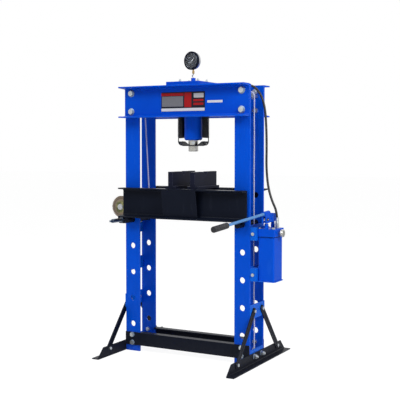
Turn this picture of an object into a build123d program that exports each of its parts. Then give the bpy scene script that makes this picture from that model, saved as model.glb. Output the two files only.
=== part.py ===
from build123d import *
import math
import os

# A floor-standing two-pillar hydraulic press: a hand pump, a pressure gauge, a ram with return
# springs, and a bed that rests on pins and is lifted by a hand winch and a wire rope.
# Lengths are millimetres and angles are degrees. X runs to the right, Y to the back and Z up.
# Pieces are drawn from the ram axis on the floor, and the whole is centred when it is written.

# Clearances and rules that every piece shares
overrun = 2
seat_gap = 0.3
hole_clearance = 1
running_clearance = 0.05
hidden_depth_share = 0.5
cord_arc_share = 0.45

# Shares of a bolt's thread size
flats_share = 1.5
head_height_share = 0.65
nut_height_share = 0.8
bolt_tail_share = 0.3

# Uprights: two flat plates a side, tied by battens between them
frame_height = 1650
frame_half_width = 430
frame_depth = 200
upright_width = 100
plate_thickness = 14
upright_bottom = 0
upright_top_drop = 3
pin_hole_diameter = 36
pin_hole_pitch = 164
pin_hole_count = 6
lowest_pin_hole = 171
batten_thickness = 8
foot_batten_height = 85
batten_height = 80
middle_batten_bottom = 500
upper_batten_bottom = 745
winch_plate_bottom = 734
winch_plate_height = 231
stay_bracket_bottom = 271
stay_bracket_height = 85

# Top beams: rolled channels with their flanges outward
beam_height = 190
beam_width = 84
beam_web = 9
beam_flange_tip = 8
beam_flange_root = 13
beam_root_radius = 6
beam_toe_radius = 4
beam_overhang = -2
beam_bolt_size = 20
beam_bolt_spacing = 113

# Cylinder, its plate on top of the beams and the ram
plate_length = 225
plate_depth = 280
plate_height = 23
plate_edge_radius = 3
plate_bolt_size = 10
plate_bolt_length = 124
plate_bolt_depth = 112
gauge_boss_diameter = 28
gauge_boss_height = 28
barrel_diameter = 110
barrel_bore = 85
barrel_drop = 329
barrel_flange_length = 154
barrel_flange_height = 20
barrel_flange_corner = 12
barrel_edge_width = 9
barrel_edge_height = 7
gland_height = 40
ram_diameter = 60
ram_drop = 397
ram_edge = 3
piston_drop = 160
piston_height = 45
spigot_diameter = 36
spigot_length = 20
ram_stroke = 110
ram_screw_size = 12
ram_screw_drop = 15
ram_screw_head = 20
ram_screw_head_height = 7
ram_screw_turn = 28

# Spring strap under the ram collar, and the return springs
strap_thickness = 6
strap_drop = 364
strap_width = 90
strap_flat_half = 51
strap_slope_half = 83
strap_rise = 23
strap_bend_radius = 6
spring_offset = 85
spring_diameter = 46
spring_wire = 6
spring_bottom_drop = 317
spring_top_drop = 90
hook_offset = 74

# Gauge on a bent tube above the cylinder plate
gauge_rise = 133
gauge_turn = -11
gauge_case_diameter = 104
gauge_case_depth = 31
gauge_stem_depth = 11
gauge_wall = 2.5
gauge_bezel_diameter = 112
gauge_bezel_depth = 13
gauge_bezel_wall = 8
gauge_lens_thickness = 2.5
gauge_dial_thickness = 1.5
gauge_dial_depth = 11
gauge_needle_length = 36
gauge_needle_tail = 24
gauge_needle_width = 4
gauge_needle_thickness = 1
gauge_needle_lift = 3
gauge_hub_diameter = 9
gauge_pin_diameter = 3
gauge_zero_angle = 225
fitting_flats = 14
fitting_height = 16
fitting_neck_diameter = 11
fitting_neck_height = 6
tube_diameter = 7
tube_bow = 7
tube_bow_back = 4
tube_straight = 5

# Bed: two channels on pins, tied by round bars
bed_height = 183
bed_width = 70
bed_web = 10
bed_flange_tip = 8
bed_flange_root = 13
bed_root_radius = 10
bed_toe_radius = 4
bed_end_inset = 4
bed_offset = -8
bed_gap = 12
bed_pin_diameter = 35
bed_pin_length = 336
bed_pin_level = 4
bed_pin_chamfer = 3
spacer_diameter = 42
spacer_bore = 32
spacer_drop = 59
spacer_offset = 180
stiffener_half_length = 117
stiffener_thickness = 8
stiffener_top_inset = 2
stiffener_low_inset = 30

# V blocks that stand across the bed
block_length = 284
block_thickness = 32
block_height = 103
block_offset = 76
block_centre_x = -5
block_foot_height = 16
block_foot_width = 70
block_notch_width = 56
block_notch_depth = 22
block_edge = 2

# Bottom rails, feet and stays
rail_bottom = 38
rail_height = 80
rail_thickness = 6
rail_flange = 42
rail_notch_gap = 3
rail_bend_radius = 6
rail_bolt_size = 16
rail_bolt_spacing = 49
foot_half_length = 405
foot_height = 64
foot_thickness = 6
foot_flange = 48
foot_clip = 58
foot_tip_height = 7
foot_root_radius = 5
foot_bolt_size = 16
foot_bolt_height = 46
foot_bolt_spacing = 100
stay_width = 40
stay_thickness = 6
stay_top_offset = 56
stay_top_height = 316
stay_foot_offset = 283
stay_foot_height = 46
stay_bolt_size = 12

# Hand pump on the right upright
pump_reach = 89.5
tank_length = 101
tank_front = -70
tank_depth = 125
tank_bottom = 495
tank_height = 265
tank_wall = 3
tank_corner = 9
tank_lip = 3
tank_lip_height = 4
head_height = 45
head_margin = 6
head_edge = 3
head_bolt_size = 10
head_bolt_inset = 11
filler_diameter = 20
filler_offset = 20
filler_height = 8
bracket_front = -98
bracket_depth = 151
bracket_wall = 6
bracket_height = 76
lower_bracket_bottom = 498
upper_bracket_bottom = 737
bracket_bolt_size = 12
bracket_bolt_rise_share = 0.5
plunger_y = -64
fulcrum_y = 28
fulcrum_height = 866
lever_droop = 3.3
post_diameter = 24
post_flat = 14
post_lug_drop = 36
post_eye_diameter = 26
plunger_diameter = 16
plunger_floor = 5
plunger_guide_height = 30
lever_pin_diameter = 12
plunger_pin_diameter = 10
plunger_slot_length = 34
plunger_slot_height = 17
cheek_thickness = 6
cheek_gap = 1
cheek_height = 40
cheek_front = 126
cheek_back = 20
cheek_back_rise = 24
socket_rise = 35
socket_diameter = 28
socket_front = 132
socket_length = 70
handle_diameter = 16
handle_wall = 2.5
handle_fit = 0.15
handle_tip = 754
handle_in_socket = 60
grip_length = 153
grip_diameter = 33
grip_rib_depth = 1.5
grip_rib_count = 6
valve_y = -13
valve_drop = 26
valve_stem_diameter = 12
valve_stem_depth = 28
valve_neck = 14
valve_knob_diameter = 46
valve_knob_height = 17
valve_flute_count = 8
valve_flute_diameter = 10

# Winch on the left upright
winch_axis_reach = 85
winch_axis_height = 897
winch_front = -8
winch_inside = 73
winch_plate = 5
winch_reach = 36
winch_bottom = 790
winch_top = 948
winch_corner = 18
winch_bolt_size = 12
winch_bolt_inset = 14
gear_module = 3
gear_teeth = 45
pinion_teeth = 11
pressure_angle = 25
addendum_share = 0.9
dedendum_share = 1.2
gear_backlash = 0.7
flank_steps = 3
gear_width = 10
gear_gap = 7
gear_dome_height = 9
gear_dome_diameter = 104
gear_hub_diameter = 36
gear_hub_height = 14
drum_shaft_diameter = 20
drum_diameter = 42
drum_flange_diameter = 66
drum_flange_thickness = 4
drum_side_gap = 1
winding_length = 34
pinion_shaft_diameter = 16
pinion_sleeve_diameter = 25
pinion_sleeve_length = 100
pinion_square = 12
pinion_square_length = 24

# Wire rope and its sheaves
rope_diameter = 8
rope_y = 0
rope_drum_y = 12
top_sheave_radius = 50
bed_sheave_radius = 44
sheave_rim = 6
groove_clearance = 0.8
sheave_thickness = 16
sheave_pin_diameter = 20
top_sheave_inset = 28
rope_top_drop = 85
left_sheave_inset = 158
right_sheave_inset = 110
bed_sheave_rise = 92
anchor_inset = 44
anchor_rise = 17
anchor_pin_diameter = 16.4
anchor_sleeve_diameter = 40
anchor_sleeve_length = 30
clip_height = 18
clip_reach = 14
clip_margin = 5
clip_depth = 20

# Hose from the cylinder to the pump: shares of the way across and up between its ends, with depths
hose_diameter = 14
hose_port_angle = 25
hose_port_drop = 60
hose_fitting_length = 37
hose_fitting_flats = 22
hose_head_fitting_height = 29
hose_end_offset = 34
hose_end_y = 14
hose_first_run = 70
hose_last_run = 64
hose_route_shares = [(0.312, 71, 1.029), (0.487, 52, 1.066), (0.627, 28, 1.079), (0.733, 19, 1.033),
                     (0.799, 19, 0.955), (0.831, 20, 0.860), (0.844, 20, 0.726), (0.849, 19, 0.587),
                     (0.846, 18, 0.458), (0.859, 15, 0.358), (0.884, 11, 0.266), (0.931, 8, 0.177)]

# The rope's loose tail inside the right upright: sway to the side and to the back, and share of the height
tail_route_shares = [(0.6, -0.6, 0.970), (-0.4, -1.4, 0.920), (1.0, -0.8, 0.859), (0.0, 0.6, 0.796),
                     (-1.0, -0.8, 0.728), (0.4, -1.8, 0.662), (-0.8, -1.0, 0.596), (0.6, 0.0, 0.529),
                     (-0.4, -1.5, 0.463), (0.8, -0.6, 0.396), (2.0, 0.6, 0.330), (0.8, -0.8, 0.263),
                     (3.0, -1.6, 0.197), (4.4, -0.4, 0.132), (3.6, -1.6, 0.078), (3.2, -1.0, 0.044)]

# Places that follow from the sizes above
half_depth = frame_depth / 2
barrel_bottom = frame_height - barrel_drop
ram_bottom = frame_height - ram_drop
piston_bottom = frame_height - piston_drop
strap_bottom = frame_height - strap_drop
spring_bottom = frame_height - spring_bottom_drop
spring_top = frame_height - spring_top_drop
rope_top_height = frame_height - rope_top_drop
anchor_height = rope_top_height + anchor_rise
hose_port_height = frame_height - hose_port_drop
pump_centre_x = frame_half_width + pump_reach
lever_x = pump_centre_x
hose_end_x = pump_centre_x + hose_end_offset
winch_axis_x = -frame_half_width - winch_axis_reach
top_sheave_x = top_sheave_inset - frame_half_width
anchor_x = frame_half_width - anchor_inset
bed_sheave_left_x = left_sheave_inset - frame_half_width
bed_sheave_right_x = frame_half_width - right_sheave_inset
bed_half_length = frame_half_width - bed_end_inset
plate_inner_face = half_depth - plate_thickness
upright_centre = frame_half_width - upright_width / 2
beam_centre_height = frame_height - beam_height / 2
foot_face = frame_half_width + foot_thickness
bed_pin_height = lowest_pin_hole + bed_pin_level * pin_hole_pitch
bed_bottom = bed_pin_height + bed_pin_diameter / 2 + seat_gap
bed_top = bed_bottom + bed_height
bed_face = half_depth + bed_gap
bed_sheave_height = bed_bottom + bed_sheave_rise
plate_top = frame_height + plate_height
gauge_centre_height = plate_top + gauge_rise
tank_top = tank_bottom + tank_height
head_top = tank_top + head_height
tank_inner = pump_centre_x - tank_length / 2
tank_outer = pump_centre_x + tank_length / 2
tank_back = tank_front + tank_depth
head_outer = tank_outer + head_margin
plunger_reach_y = fulcrum_y - plunger_y
plunger_pin_height = fulcrum_height - plunger_reach_y * math.tan(math.radians(lever_droop))
gear_distance = gear_module * (gear_teeth + pinion_teeth) / 2
pinion_height = winch_axis_height - gear_distance
winch_back = winch_front + winch_plate + winch_inside
rope_radius = rope_diameter / 2
winding_radius = drum_diameter / 2 + rope_diameter
gear_back = winch_front - gear_gap
strap_top = strap_bottom + strap_thickness


# Basic shapes

def block(x0, x1, y0, y1, z0, z1):
    """A box between two corners."""
    return Pos((x0 + x1) / 2, (y0 + y1) / 2, (z0 + z1) / 2) * Box(x1 - x0, y1 - y0, z1 - z0)


def rod(diameter, start, end):
    """A round bar between two points."""
    run = Vector(*end) - Vector(*start)
    return Solid.make_cylinder(diameter / 2, run.length, Plane(origin=start, z_dir=run))


def hole(diameter, start, end):
    """A round cutter that passes both points by the overrun."""
    run = (Vector(*end) - Vector(*start)).normalized() * overrun
    return rod(diameter, tuple(Vector(*start) - run), tuple(Vector(*end) + run))


def ring(outer, inner, start, end):
    """A round bar with a round bore."""
    return rod(outer, start, end) - hole(inner, start, end)


def hexagon_bar(flats, start, end):
    """A hexagonal bar between two points."""
    run = Vector(*end) - Vector(*start)
    profile = Plane(origin=start, z_dir=run) * RegularPolygon(flats / 2, 6, major_radius=False)
    return extrude(profile, run.length)


def turned(points):
    """A solid of revolution about Z from (radius, height) points."""
    return revolve(Plane.XZ * Polygon(*points, align=None), Axis.Z)


def group(*shapes):
    """Separate solids kept together in one node."""
    return Compound([solid for shape in shapes for solid in shape.solids()])


def bolt(face, outward, size, grip, nut=True):
    """A hexagon bolt with its head on a face, its shank back through the grip and a nut behind it."""
    out = Vector(*outward)
    seat = Vector(*face)
    back = seat - out * grip
    nut_end = back - out * size * nut_height_share
    end = nut_end - out * size * bolt_tail_share if nut else back
    shape = hexagon_bar(size * flats_share, tuple(seat), tuple(seat + out * size * head_height_share))
    shape += rod(size, tuple(end), tuple(seat))
    if nut:
        shape += hexagon_bar(size * flats_share, tuple(nut_end), tuple(back))
    return [shape]


def channel(height, width, web, tip, root, root_radius, toe_radius, length):
    """A rolled channel along X with tapered flanges towards the front, its back face at Y = 0."""
    half = height / 2
    outline = Polygon((0, -half), (width, -half), (width, tip - half), (web, root - half),
                      (web, half - root), (width, half - tip), (width, half), (0, half), align=None)
    inner = outline.vertices().filter_by(lambda v: 0 < v.X < width)
    outline = fillet(inner, root_radius)
    toes = outline.vertices().filter_by(lambda v: v.X > width - seat_gap and abs(v.Y) < half - seat_gap)
    outline = fillet(toes, toe_radius)
    return extrude(Plane(origin=(0, 0, 0), x_dir=(0, -1, 0), z_dir=(-1, 0, 0)) * outline, length / 2,
                   both=True)


def pipe(points, diameter):
    """A round tube along straight runs with arcs as large as the runs allow, and the arcs' radii."""
    turns = [Vector(*b) - Vector(*a) for a, b in zip(points, points[1:])]
    radii = []
    for before, after in zip(turns, turns[1:]):
        half_turn = math.radians(before.get_angle(after) / 2)
        radii.append(cord_arc_share * min(before.length, after.length) / math.tan(half_turn))
    path = FilletPolyline(*points, radius=radii)
    start = Plane(origin=path @ 0, z_dir=path % 0)
    solid = sweep(start * Circle(diameter / 2), path)
    drift = abs(solid.volume / (math.pi * diameter ** 2 / 4 * path.length) - 1)
    print("points", [tuple(round(c, 1) for c in point) for point in points])
    print("arcs from", round(min(radii)), "to", round(max(radii)), "length", round(path.length),
          "volume off by", round(drift, 5))
    return solid


# Frame

def uprights():
    """Four drilled plates, front and back on each side."""
    nodes = {}
    levels = [lowest_pin_hole + i * pin_hole_pitch for i in range(pin_hole_count)]
    bolt_levels = [beam_centre_height - beam_bolt_spacing / 2, beam_centre_height + beam_bolt_spacing / 2]
    rail_levels = rail_bolt_levels()
    for side, sign in (("left", -1), ("right", 1)):
        for place, front in (("front", -1), ("rear", 1)):
            inner, outer = front * plate_inner_face, front * half_depth
            x = sign * upright_centre
            plate = block(x - upright_width / 2, x + upright_width / 2, min(inner, outer), max(inner, outer),
                          upright_bottom, frame_height - upright_top_drop)
            for level in levels:
                plate -= hole(pin_hole_diameter, (x, inner, level), (x, outer, level))
            for level in bolt_levels:
                plate -= hole(beam_bolt_size + hole_clearance, (x, inner, level), (x, outer, level))
            for level in rail_levels:
                plate -= hole(rail_bolt_size + hole_clearance, (x, inner, level), (x, outer, level))
            pin_x, pin_z, pin = top_sheave_x, rope_top_height, sheave_pin_diameter
            if sign > 0:
                pin_x, pin_z, pin = anchor_x, anchor_height, anchor_pin_diameter
            plate -= hole(pin + seat_gap, (pin_x, inner, pin_z), (pin_x, outer, pin_z))
            nodes["upright_%s_%s" % (side, place)] = plate
    return nodes


def rail_bolt_levels():
    """Heights of the two bolts at each end of a bottom rail."""
    centre = rail_bottom + rail_height / 2
    return [centre - rail_bolt_spacing / 2, centre + rail_bolt_spacing / 2]


def tie_plate(sign, bottom, height):
    """A batten between one upright's two plates, flush with their outer edges."""
    near, far = sign * frame_half_width, sign * (frame_half_width - batten_thickness)
    return block(min(near, far), max(near, far), -plate_inner_face, plate_inner_face, bottom, bottom + height)


def stay_bracket(sign):
    """A plate across the outer edges of one upright, as thick as a foot, so that the stays lie flat."""
    near, far = sign * frame_half_width, sign * foot_face
    return block(min(near, far), max(near, far), -half_depth, half_depth, stay_bracket_bottom,
                 stay_bracket_bottom + stay_bracket_height)


def battens():
    """Tie plates on each upright: at the foot, at the stays, at the middle and at the pump or winch."""
    plates = []
    for sign in (-1, 1):
        inside, outside = sign * (frame_half_width - batten_thickness), sign * foot_face
        foot = tie_plate(sign, upright_bottom, foot_batten_height - upright_bottom)
        for y in (-foot_bolt_spacing / 2, foot_bolt_spacing / 2):
            foot -= hole(foot_bolt_size + hole_clearance, (inside, y, foot_bolt_height),
                         (outside, y, foot_bolt_height))
        stay = stay_bracket(sign)
        for y in (-stay_top_offset, stay_top_offset):
            stay -= hole(stay_bolt_size + hole_clearance, (inside, y, stay_top_height),
                         (outside, y, stay_top_height))
        middle = tie_plate(sign, middle_batten_bottom, batten_height)
        if sign < 0:
            upper = tie_plate(sign, winch_plate_bottom, winch_plate_height)
            for y, z in winch_bolt_places():
                upper -= hole(winch_bolt_size + hole_clearance, (inside, y, z), (outside, y, z))
        else:
            upper = tie_plate(sign, upper_batten_bottom, batten_height)
        plates += [foot, stay, middle, upper]
    return {"battens": group(*plates)}


def top_beams():
    """Front and rear channels bolted to the faces of the uprights."""
    beam = channel(beam_height, beam_width, beam_web, beam_flange_tip, beam_flange_root, beam_root_radius,
                   beam_toe_radius, 2 * (frame_half_width + beam_overhang))
    beam = Pos(0, -half_depth, beam_centre_height) * beam
    bolts = []
    for x in (-upright_centre, upright_centre):
        for rise in (-beam_bolt_spacing / 2, beam_bolt_spacing / 2):
            z = beam_centre_height + rise
            beam -= hole(beam_bolt_size + hole_clearance, (x, -half_depth - beam_web, z), (x, -half_depth, z))
            for front in (-1, 1):
                face = (x, front * (half_depth + beam_web), z)
                bolts += bolt(face, (0, front, 0), beam_bolt_size, beam_web + plate_thickness)
    for x in (-plate_bolt_length / 2, plate_bolt_length / 2):
        for y in (-plate_bolt_depth / 2, plate_bolt_depth / 2):
            bolts += bolt((x, y, plate_top), (0, 0, 1), plate_bolt_size, plate_height + barrel_flange_height)
    return {"top_beam_front": beam, "top_beam_rear": Rot(0, 0, 180) * beam, "top_bolts": group(*bolts)}


def base():
    """Bottom rails, angle feet, diagonal stays and the bolts that hold them."""
    nodes = {}
    bolts = []
    rail_top = rail_bottom + rail_height
    face = -half_depth - rail_thickness
    rail = block(-frame_half_width, frame_half_width, face, -half_depth, rail_bottom, rail_top)
    inner_half = frame_half_width - upright_width - rail_notch_gap
    flange_back = -half_depth + rail_flange - rail_thickness
    rail += block(-inner_half, inner_half, face, flange_back, rail_top - rail_thickness, rail_top)
    bend = rail.edges().filter_by(Axis.X).filter_by(
        lambda e: abs(e.center().Y + half_depth) < seat_gap
        and abs(e.center().Z - rail_top + rail_thickness) < seat_gap)
    rail = fillet(bend, rail_bend_radius)
    for x in (-upright_centre, upright_centre):
        for z in rail_bolt_levels():
            rail -= hole(rail_bolt_size + hole_clearance, (x, face, z), (x, -half_depth, z))
            for front in (-1, 1):
                bolts += bolt((x, -front * face, z), (0, front, 0), rail_bolt_size,
                              rail_thickness + plate_thickness)
    nodes["bottom_rail_front"] = rail
    nodes["bottom_rail_rear"] = Rot(0, 0, 180) * rail

    foot = foot_angle()
    stays = []
    for side, sign in (("left", -1), ("right", 1)):
        nodes["foot_" + side] = foot if sign > 0 else Rot(0, 0, 180) * foot
        for y in (-foot_bolt_spacing / 2, foot_bolt_spacing / 2):
            bolts += bolt((sign * foot_face, y, foot_bolt_height), (sign, 0, 0), foot_bolt_size,
                          foot_thickness + batten_thickness)
        for front in (-1, 1):
            stays.append(stay_bar(sign, front))
            stay_face = sign * (foot_face + stay_thickness)
            bolts += bolt((stay_face, front * stay_top_offset, stay_top_height), (sign, 0, 0), stay_bolt_size,
                          stay_thickness + foot_thickness)
            bolts += bolt((stay_face, front * stay_foot_offset, stay_foot_height), (sign, 0, 0),
                          stay_bolt_size,
                          stay_thickness + foot_thickness)
    nodes["stays"] = group(*stays)
    nodes["base_bolts"] = group(*bolts)
    return nodes


def foot_angle():
    """The right foot: an angle with a clipped upright leg and a flat leg that points outward."""
    top_half = foot_half_length - foot_clip
    leg = Polygon((-foot_half_length, 0), (foot_half_length, 0), (foot_half_length, foot_tip_height),
                  (top_half, foot_height), (-top_half, foot_height), (-foot_half_length, foot_tip_height),
                  align=None)
    foot = extrude(Plane(origin=(frame_half_width, 0, 0), x_dir=(0, 1, 0), z_dir=(1, 0, 0)) * leg,
                   foot_thickness)
    foot += block(frame_half_width, frame_half_width + foot_flange, -foot_half_length, foot_half_length, 0,
                  foot_thickness)
    root = foot.edges().filter_by(Axis.Y).filter_by(
        lambda e: abs(e.center().X - foot_face) < seat_gap and abs(e.center().Z - foot_thickness) < seat_gap)
    foot = fillet(root, foot_root_radius)
    for y in (-foot_bolt_spacing / 2, foot_bolt_spacing / 2):
        foot -= hole(foot_bolt_size + hole_clearance, (frame_half_width, y, foot_bolt_height),
                     (foot_face, y, foot_bolt_height))
    for y in (-stay_foot_offset, stay_foot_offset):
        foot -= hole(stay_bolt_size + hole_clearance, (frame_half_width, y, stay_foot_height),
                     (foot_face, y, stay_foot_height))
    return foot


def stay_bar(sign, front):
    """A flat stay with round ends, from the stay bracket down to the foot."""
    top = Vector(front * stay_top_offset, stay_top_height)
    low = Vector(front * stay_foot_offset, stay_foot_height)
    middle = (top + low) * 0.5
    run = low - top
    angle = math.degrees(math.atan2(run.Y, run.X))
    outline = Pos(middle.X, middle.Y) * Rot(0, 0, angle) * SlotCenterToCenter(run.length, stay_width)
    near = sign * foot_face if sign > 0 else sign * foot_face - stay_thickness
    bar = extrude(Plane(origin=(near, 0, 0), x_dir=(0, 1, 0), z_dir=(1, 0, 0)) * outline, stay_thickness)
    for end in (top, low):
        bar -= hole(stay_bolt_size + hole_clearance, (near, end.X, end.Y),
                    (near + stay_thickness, end.X, end.Y))
    return bar


# Cylinder, ram and springs

def cylinder():
    """Plate on the beams with its gauge boss, the barrel under it and the gland in its mouth."""
    plate = block(-plate_length / 2, plate_length / 2, -plate_depth / 2, plate_depth / 2, frame_height,
                  plate_top)
    plate = fillet(plate.edges().filter_by(Axis.Z), plate_edge_radius)
    plate += rod(gauge_boss_diameter, (0, 0, plate_top - overrun), (0, 0, plate_top + gauge_boss_height))
    plate -= rod(tube_diameter + seat_gap, (0, 0, plate_top + gauge_boss_height - tube_straight),
                 (0, 0, plate_top + gauge_boss_height + overrun))
    flange_bottom = frame_height - barrel_flange_height
    flange = block(-barrel_flange_length / 2, barrel_flange_length / 2, -barrel_flange_length / 2,
                   barrel_flange_length / 2, flange_bottom, frame_height)
    flange = fillet(flange.edges().filter_by(Axis.Z), barrel_flange_corner)
    barrel_r = barrel_diameter / 2
    barrel = turned([(0, barrel_bottom), (barrel_r - barrel_edge_width, barrel_bottom),
                     (barrel_r, barrel_bottom + barrel_edge_height), (barrel_r, flange_bottom + overrun),
                     (0, flange_bottom + overrun)])
    barrel = flange + barrel
    barrel -= rod(barrel_bore, (0, 0, barrel_bottom - overrun), (0, 0, flange_bottom))
    port = Vector(1, 0, 0).rotate(Axis.Z, hose_port_angle)
    port_start = port * (barrel_bore / 2 - overrun) + Vector(0, 0, hose_port_height)
    port_end = port * barrel_diameter + Vector(0, 0, hose_port_height)
    barrel -= rod(hose_diameter, tuple(port_start), tuple(port_end))
    for x in (-plate_bolt_length / 2, plate_bolt_length / 2):
        for y in (-plate_bolt_depth / 2, plate_bolt_depth / 2):
            cut = hole(plate_bolt_size + hole_clearance, (x, y, flange_bottom), (x, y, plate_top))
            plate -= cut
            barrel -= cut
    for x in (-spring_offset, spring_offset):
        plate -= hole(spring_wire + hole_clearance, (x, 0, frame_height), (x, 0, plate_top))
    gland = ring(barrel_bore - seat_gap, ram_diameter + 2 * running_clearance, (0, 0, barrel_bottom),
                 (0, 0, barrel_bottom + gland_height))
    return {"cylinder_plate": plate, "cylinder_barrel": barrel, "cylinder_gland": gland}


def ram():
    """Ram with its piston, the nose screwed under it, the spring strap between them and the strap's screw."""
    rod_r = ram_diameter / 2
    spigot_r = spigot_diameter / 2
    piston_r = barrel_bore / 2 - running_clearance
    piston_top = piston_bottom + piston_height
    body = turned([(0, strap_bottom - spigot_length), (spigot_r, strap_bottom - spigot_length),
                   (spigot_r, strap_top), (rod_r, strap_top), (rod_r, piston_bottom),
                   (piston_r, piston_bottom), (piston_r, piston_top), (0, piston_top)])
    screw_z = barrel_bottom - ram_screw_drop
    screw_end = -rod_r + ram_screw_size
    facing = Rot(0, 0, ram_screw_turn)
    body -= facing * rod(ram_screw_size, (0, -rod_r - overrun, screw_z), (0, screw_end, screw_z))
    nose = turned([(0, ram_bottom), (rod_r - ram_edge, ram_bottom), (rod_r, ram_bottom + ram_edge),
                   (rod_r, strap_bottom), (0, strap_bottom)])
    nose -= rod(spigot_diameter, (0, 0, strap_bottom - spigot_length), (0, 0, strap_bottom + overrun))
    screw = rod(ram_screw_size, (0, -rod_r, screw_z), (0, screw_end, screw_z))
    screw += rod(ram_screw_head, (0, -rod_r - ram_screw_head_height, screw_z),
                 (0, -rod_r + seat_gap, screw_z))
    screw = facing * screw - body
    low, high = strap_bottom, strap_bottom + strap_rise
    under = [(-strap_slope_half, high), (-strap_flat_half, low), (strap_flat_half, low),
             (strap_slope_half, high)]
    over = [(x, z + strap_thickness) for x, z in reversed(under)]
    outline = Polygon(*(under + over), align=None)
    bends = outline.vertices().filter_by(lambda v: abs(v.X) < strap_slope_half - seat_gap)
    outline = fillet(bends, strap_bend_radius)
    strap = extrude(Plane.XZ * outline, strap_width / 2, both=True)
    strap -= hole(spigot_diameter, (0, 0, low), (0, 0, strap_top))
    for x in (-hook_offset, hook_offset):
        strap -= hole(spring_wire + 2 * hole_clearance, (x, 0, low), (x, 0, high + strap_thickness))
    return {"ram_rod": body, "ram_nose": nose, "ram_screw": screw, "spring_strap": strap}


def springs():
    """Close-wound return springs with a hook wire at each end, drawn as their outer and inner skins."""
    shapes = []
    for sign in (-1, 1):
        x = sign * spring_offset
        coil = ring(spring_diameter, spring_diameter - 2 * spring_wire, (x, 0, spring_bottom),
                    (x, 0, spring_top))
        reach = (spring_diameter - spring_wire) / 2
        shape = coil
        for z in (spring_bottom, spring_top - spring_wire):
            shape += block(x - reach, x + reach, -spring_wire / 2, spring_wire / 2, z, z + spring_wire)
        hook_x = sign * hook_offset
        slope = strap_rise / (strap_slope_half - strap_flat_half)
        hook_low = strap_bottom + slope * (hook_offset - strap_flat_half) - spring_wire
        shape += rod(spring_wire, (x, 0, spring_top - spring_wire), (x, 0, plate_top - spring_wire))
        shape += rod(spring_wire, (hook_x, 0, hook_low), (hook_x, 0, spring_bottom + spring_wire))
        shapes.append(shape)
    return {"return_springs": group(*shapes)}


# Gauge

def gauge():
    """Round gauge on a hexagon fitting and a bent tube: case, bezel, dial, needle and lens."""
    case_r = gauge_case_diameter / 2
    bezel_r = gauge_bezel_diameter / 2
    case = turned([(0, 0), (case_r - gauge_wall, 0), (case_r, gauge_wall), (case_r, gauge_case_depth),
                   (case_r - gauge_wall, gauge_case_depth),
                   (case_r - gauge_wall, gauge_wall), (0, gauge_wall)])
    lip = gauge_case_depth + gauge_lens_thickness
    bezel = turned([(case_r, lip - gauge_bezel_depth), (bezel_r, lip - gauge_bezel_depth), (bezel_r, lip),
                    (bezel_r - gauge_wall, lip + gauge_wall), (bezel_r - gauge_bezel_wall, lip + gauge_wall),
                    (bezel_r - gauge_bezel_wall, lip), (case_r, lip)])
    lens = rod(gauge_case_diameter - seat_gap, (0, 0, gauge_case_depth), (0, 0, lip))
    dial_top = gauge_case_depth - gauge_dial_depth
    dial = ring(gauge_case_diameter - 2 * gauge_wall, gauge_pin_diameter + hole_clearance,
                (0, 0, dial_top - gauge_dial_thickness), (0, 0, dial_top))
    needle_z = dial_top + gauge_needle_lift
    half = gauge_needle_width / 2
    blade = Polygon((-gauge_needle_tail, -half), (0, -half), (gauge_needle_length, 0), (0, half),
                    (-gauge_needle_tail, half), align=None)
    needle = Pos(0, 0, needle_z) * Rot(0, 0, gauge_zero_angle) * extrude(blade, gauge_needle_thickness)
    needle += rod(gauge_hub_diameter, (0, 0, needle_z), (0, 0, needle_z + 2 * gauge_needle_thickness))
    needle += rod(gauge_pin_diameter, (0, 0, gauge_wall + seat_gap), (0, 0, needle_z))
    facing = Pos(0, 0, gauge_centre_height) * Rot(0, 0, gauge_turn) * Rot(90, 0, 0) * Pos(0, 0,
                                                                                          -gauge_stem_depth)
    nodes = {"gauge_case": case, "gauge_bezel": bezel, "gauge_lens": lens, "gauge_dial": dial,
             "gauge_needle": needle}
    nodes = {name: facing * shape for name, shape in nodes.items()}

    neck_top = gauge_centre_height - case_r + gauge_wall
    neck_bottom = gauge_centre_height - bezel_r - fitting_neck_height
    fitting_bottom = neck_bottom - fitting_height
    nodes["gauge_case"] -= hole(fitting_neck_diameter + seat_gap, (0, 0, neck_bottom), (0, 0, neck_top))
    fitting = hexagon_bar(fitting_flats, (0, 0, fitting_bottom), (0, 0, neck_bottom))
    fitting += rod(fitting_neck_diameter, (0, 0, neck_bottom), (0, 0, neck_top))
    fitting -= rod(tube_diameter + seat_gap, (0, 0, fitting_bottom - overrun),
                   (0, 0, fitting_bottom + tube_straight))
    low, high = plate_top + gauge_boss_height, fitting_bottom
    ends = [(0, 0, low - tube_straight), (0, 0, low + tube_straight), (0, 0, high - tube_straight),
            (0, 0, high + tube_straight)]
    tube = pipe(ends[:2] + [(-tube_bow, -tube_bow_back, (low + high) / 2)] + ends[2:], tube_diameter)
    return nodes | {"gauge_connection": group(fitting, tube)}


# Bed

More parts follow.
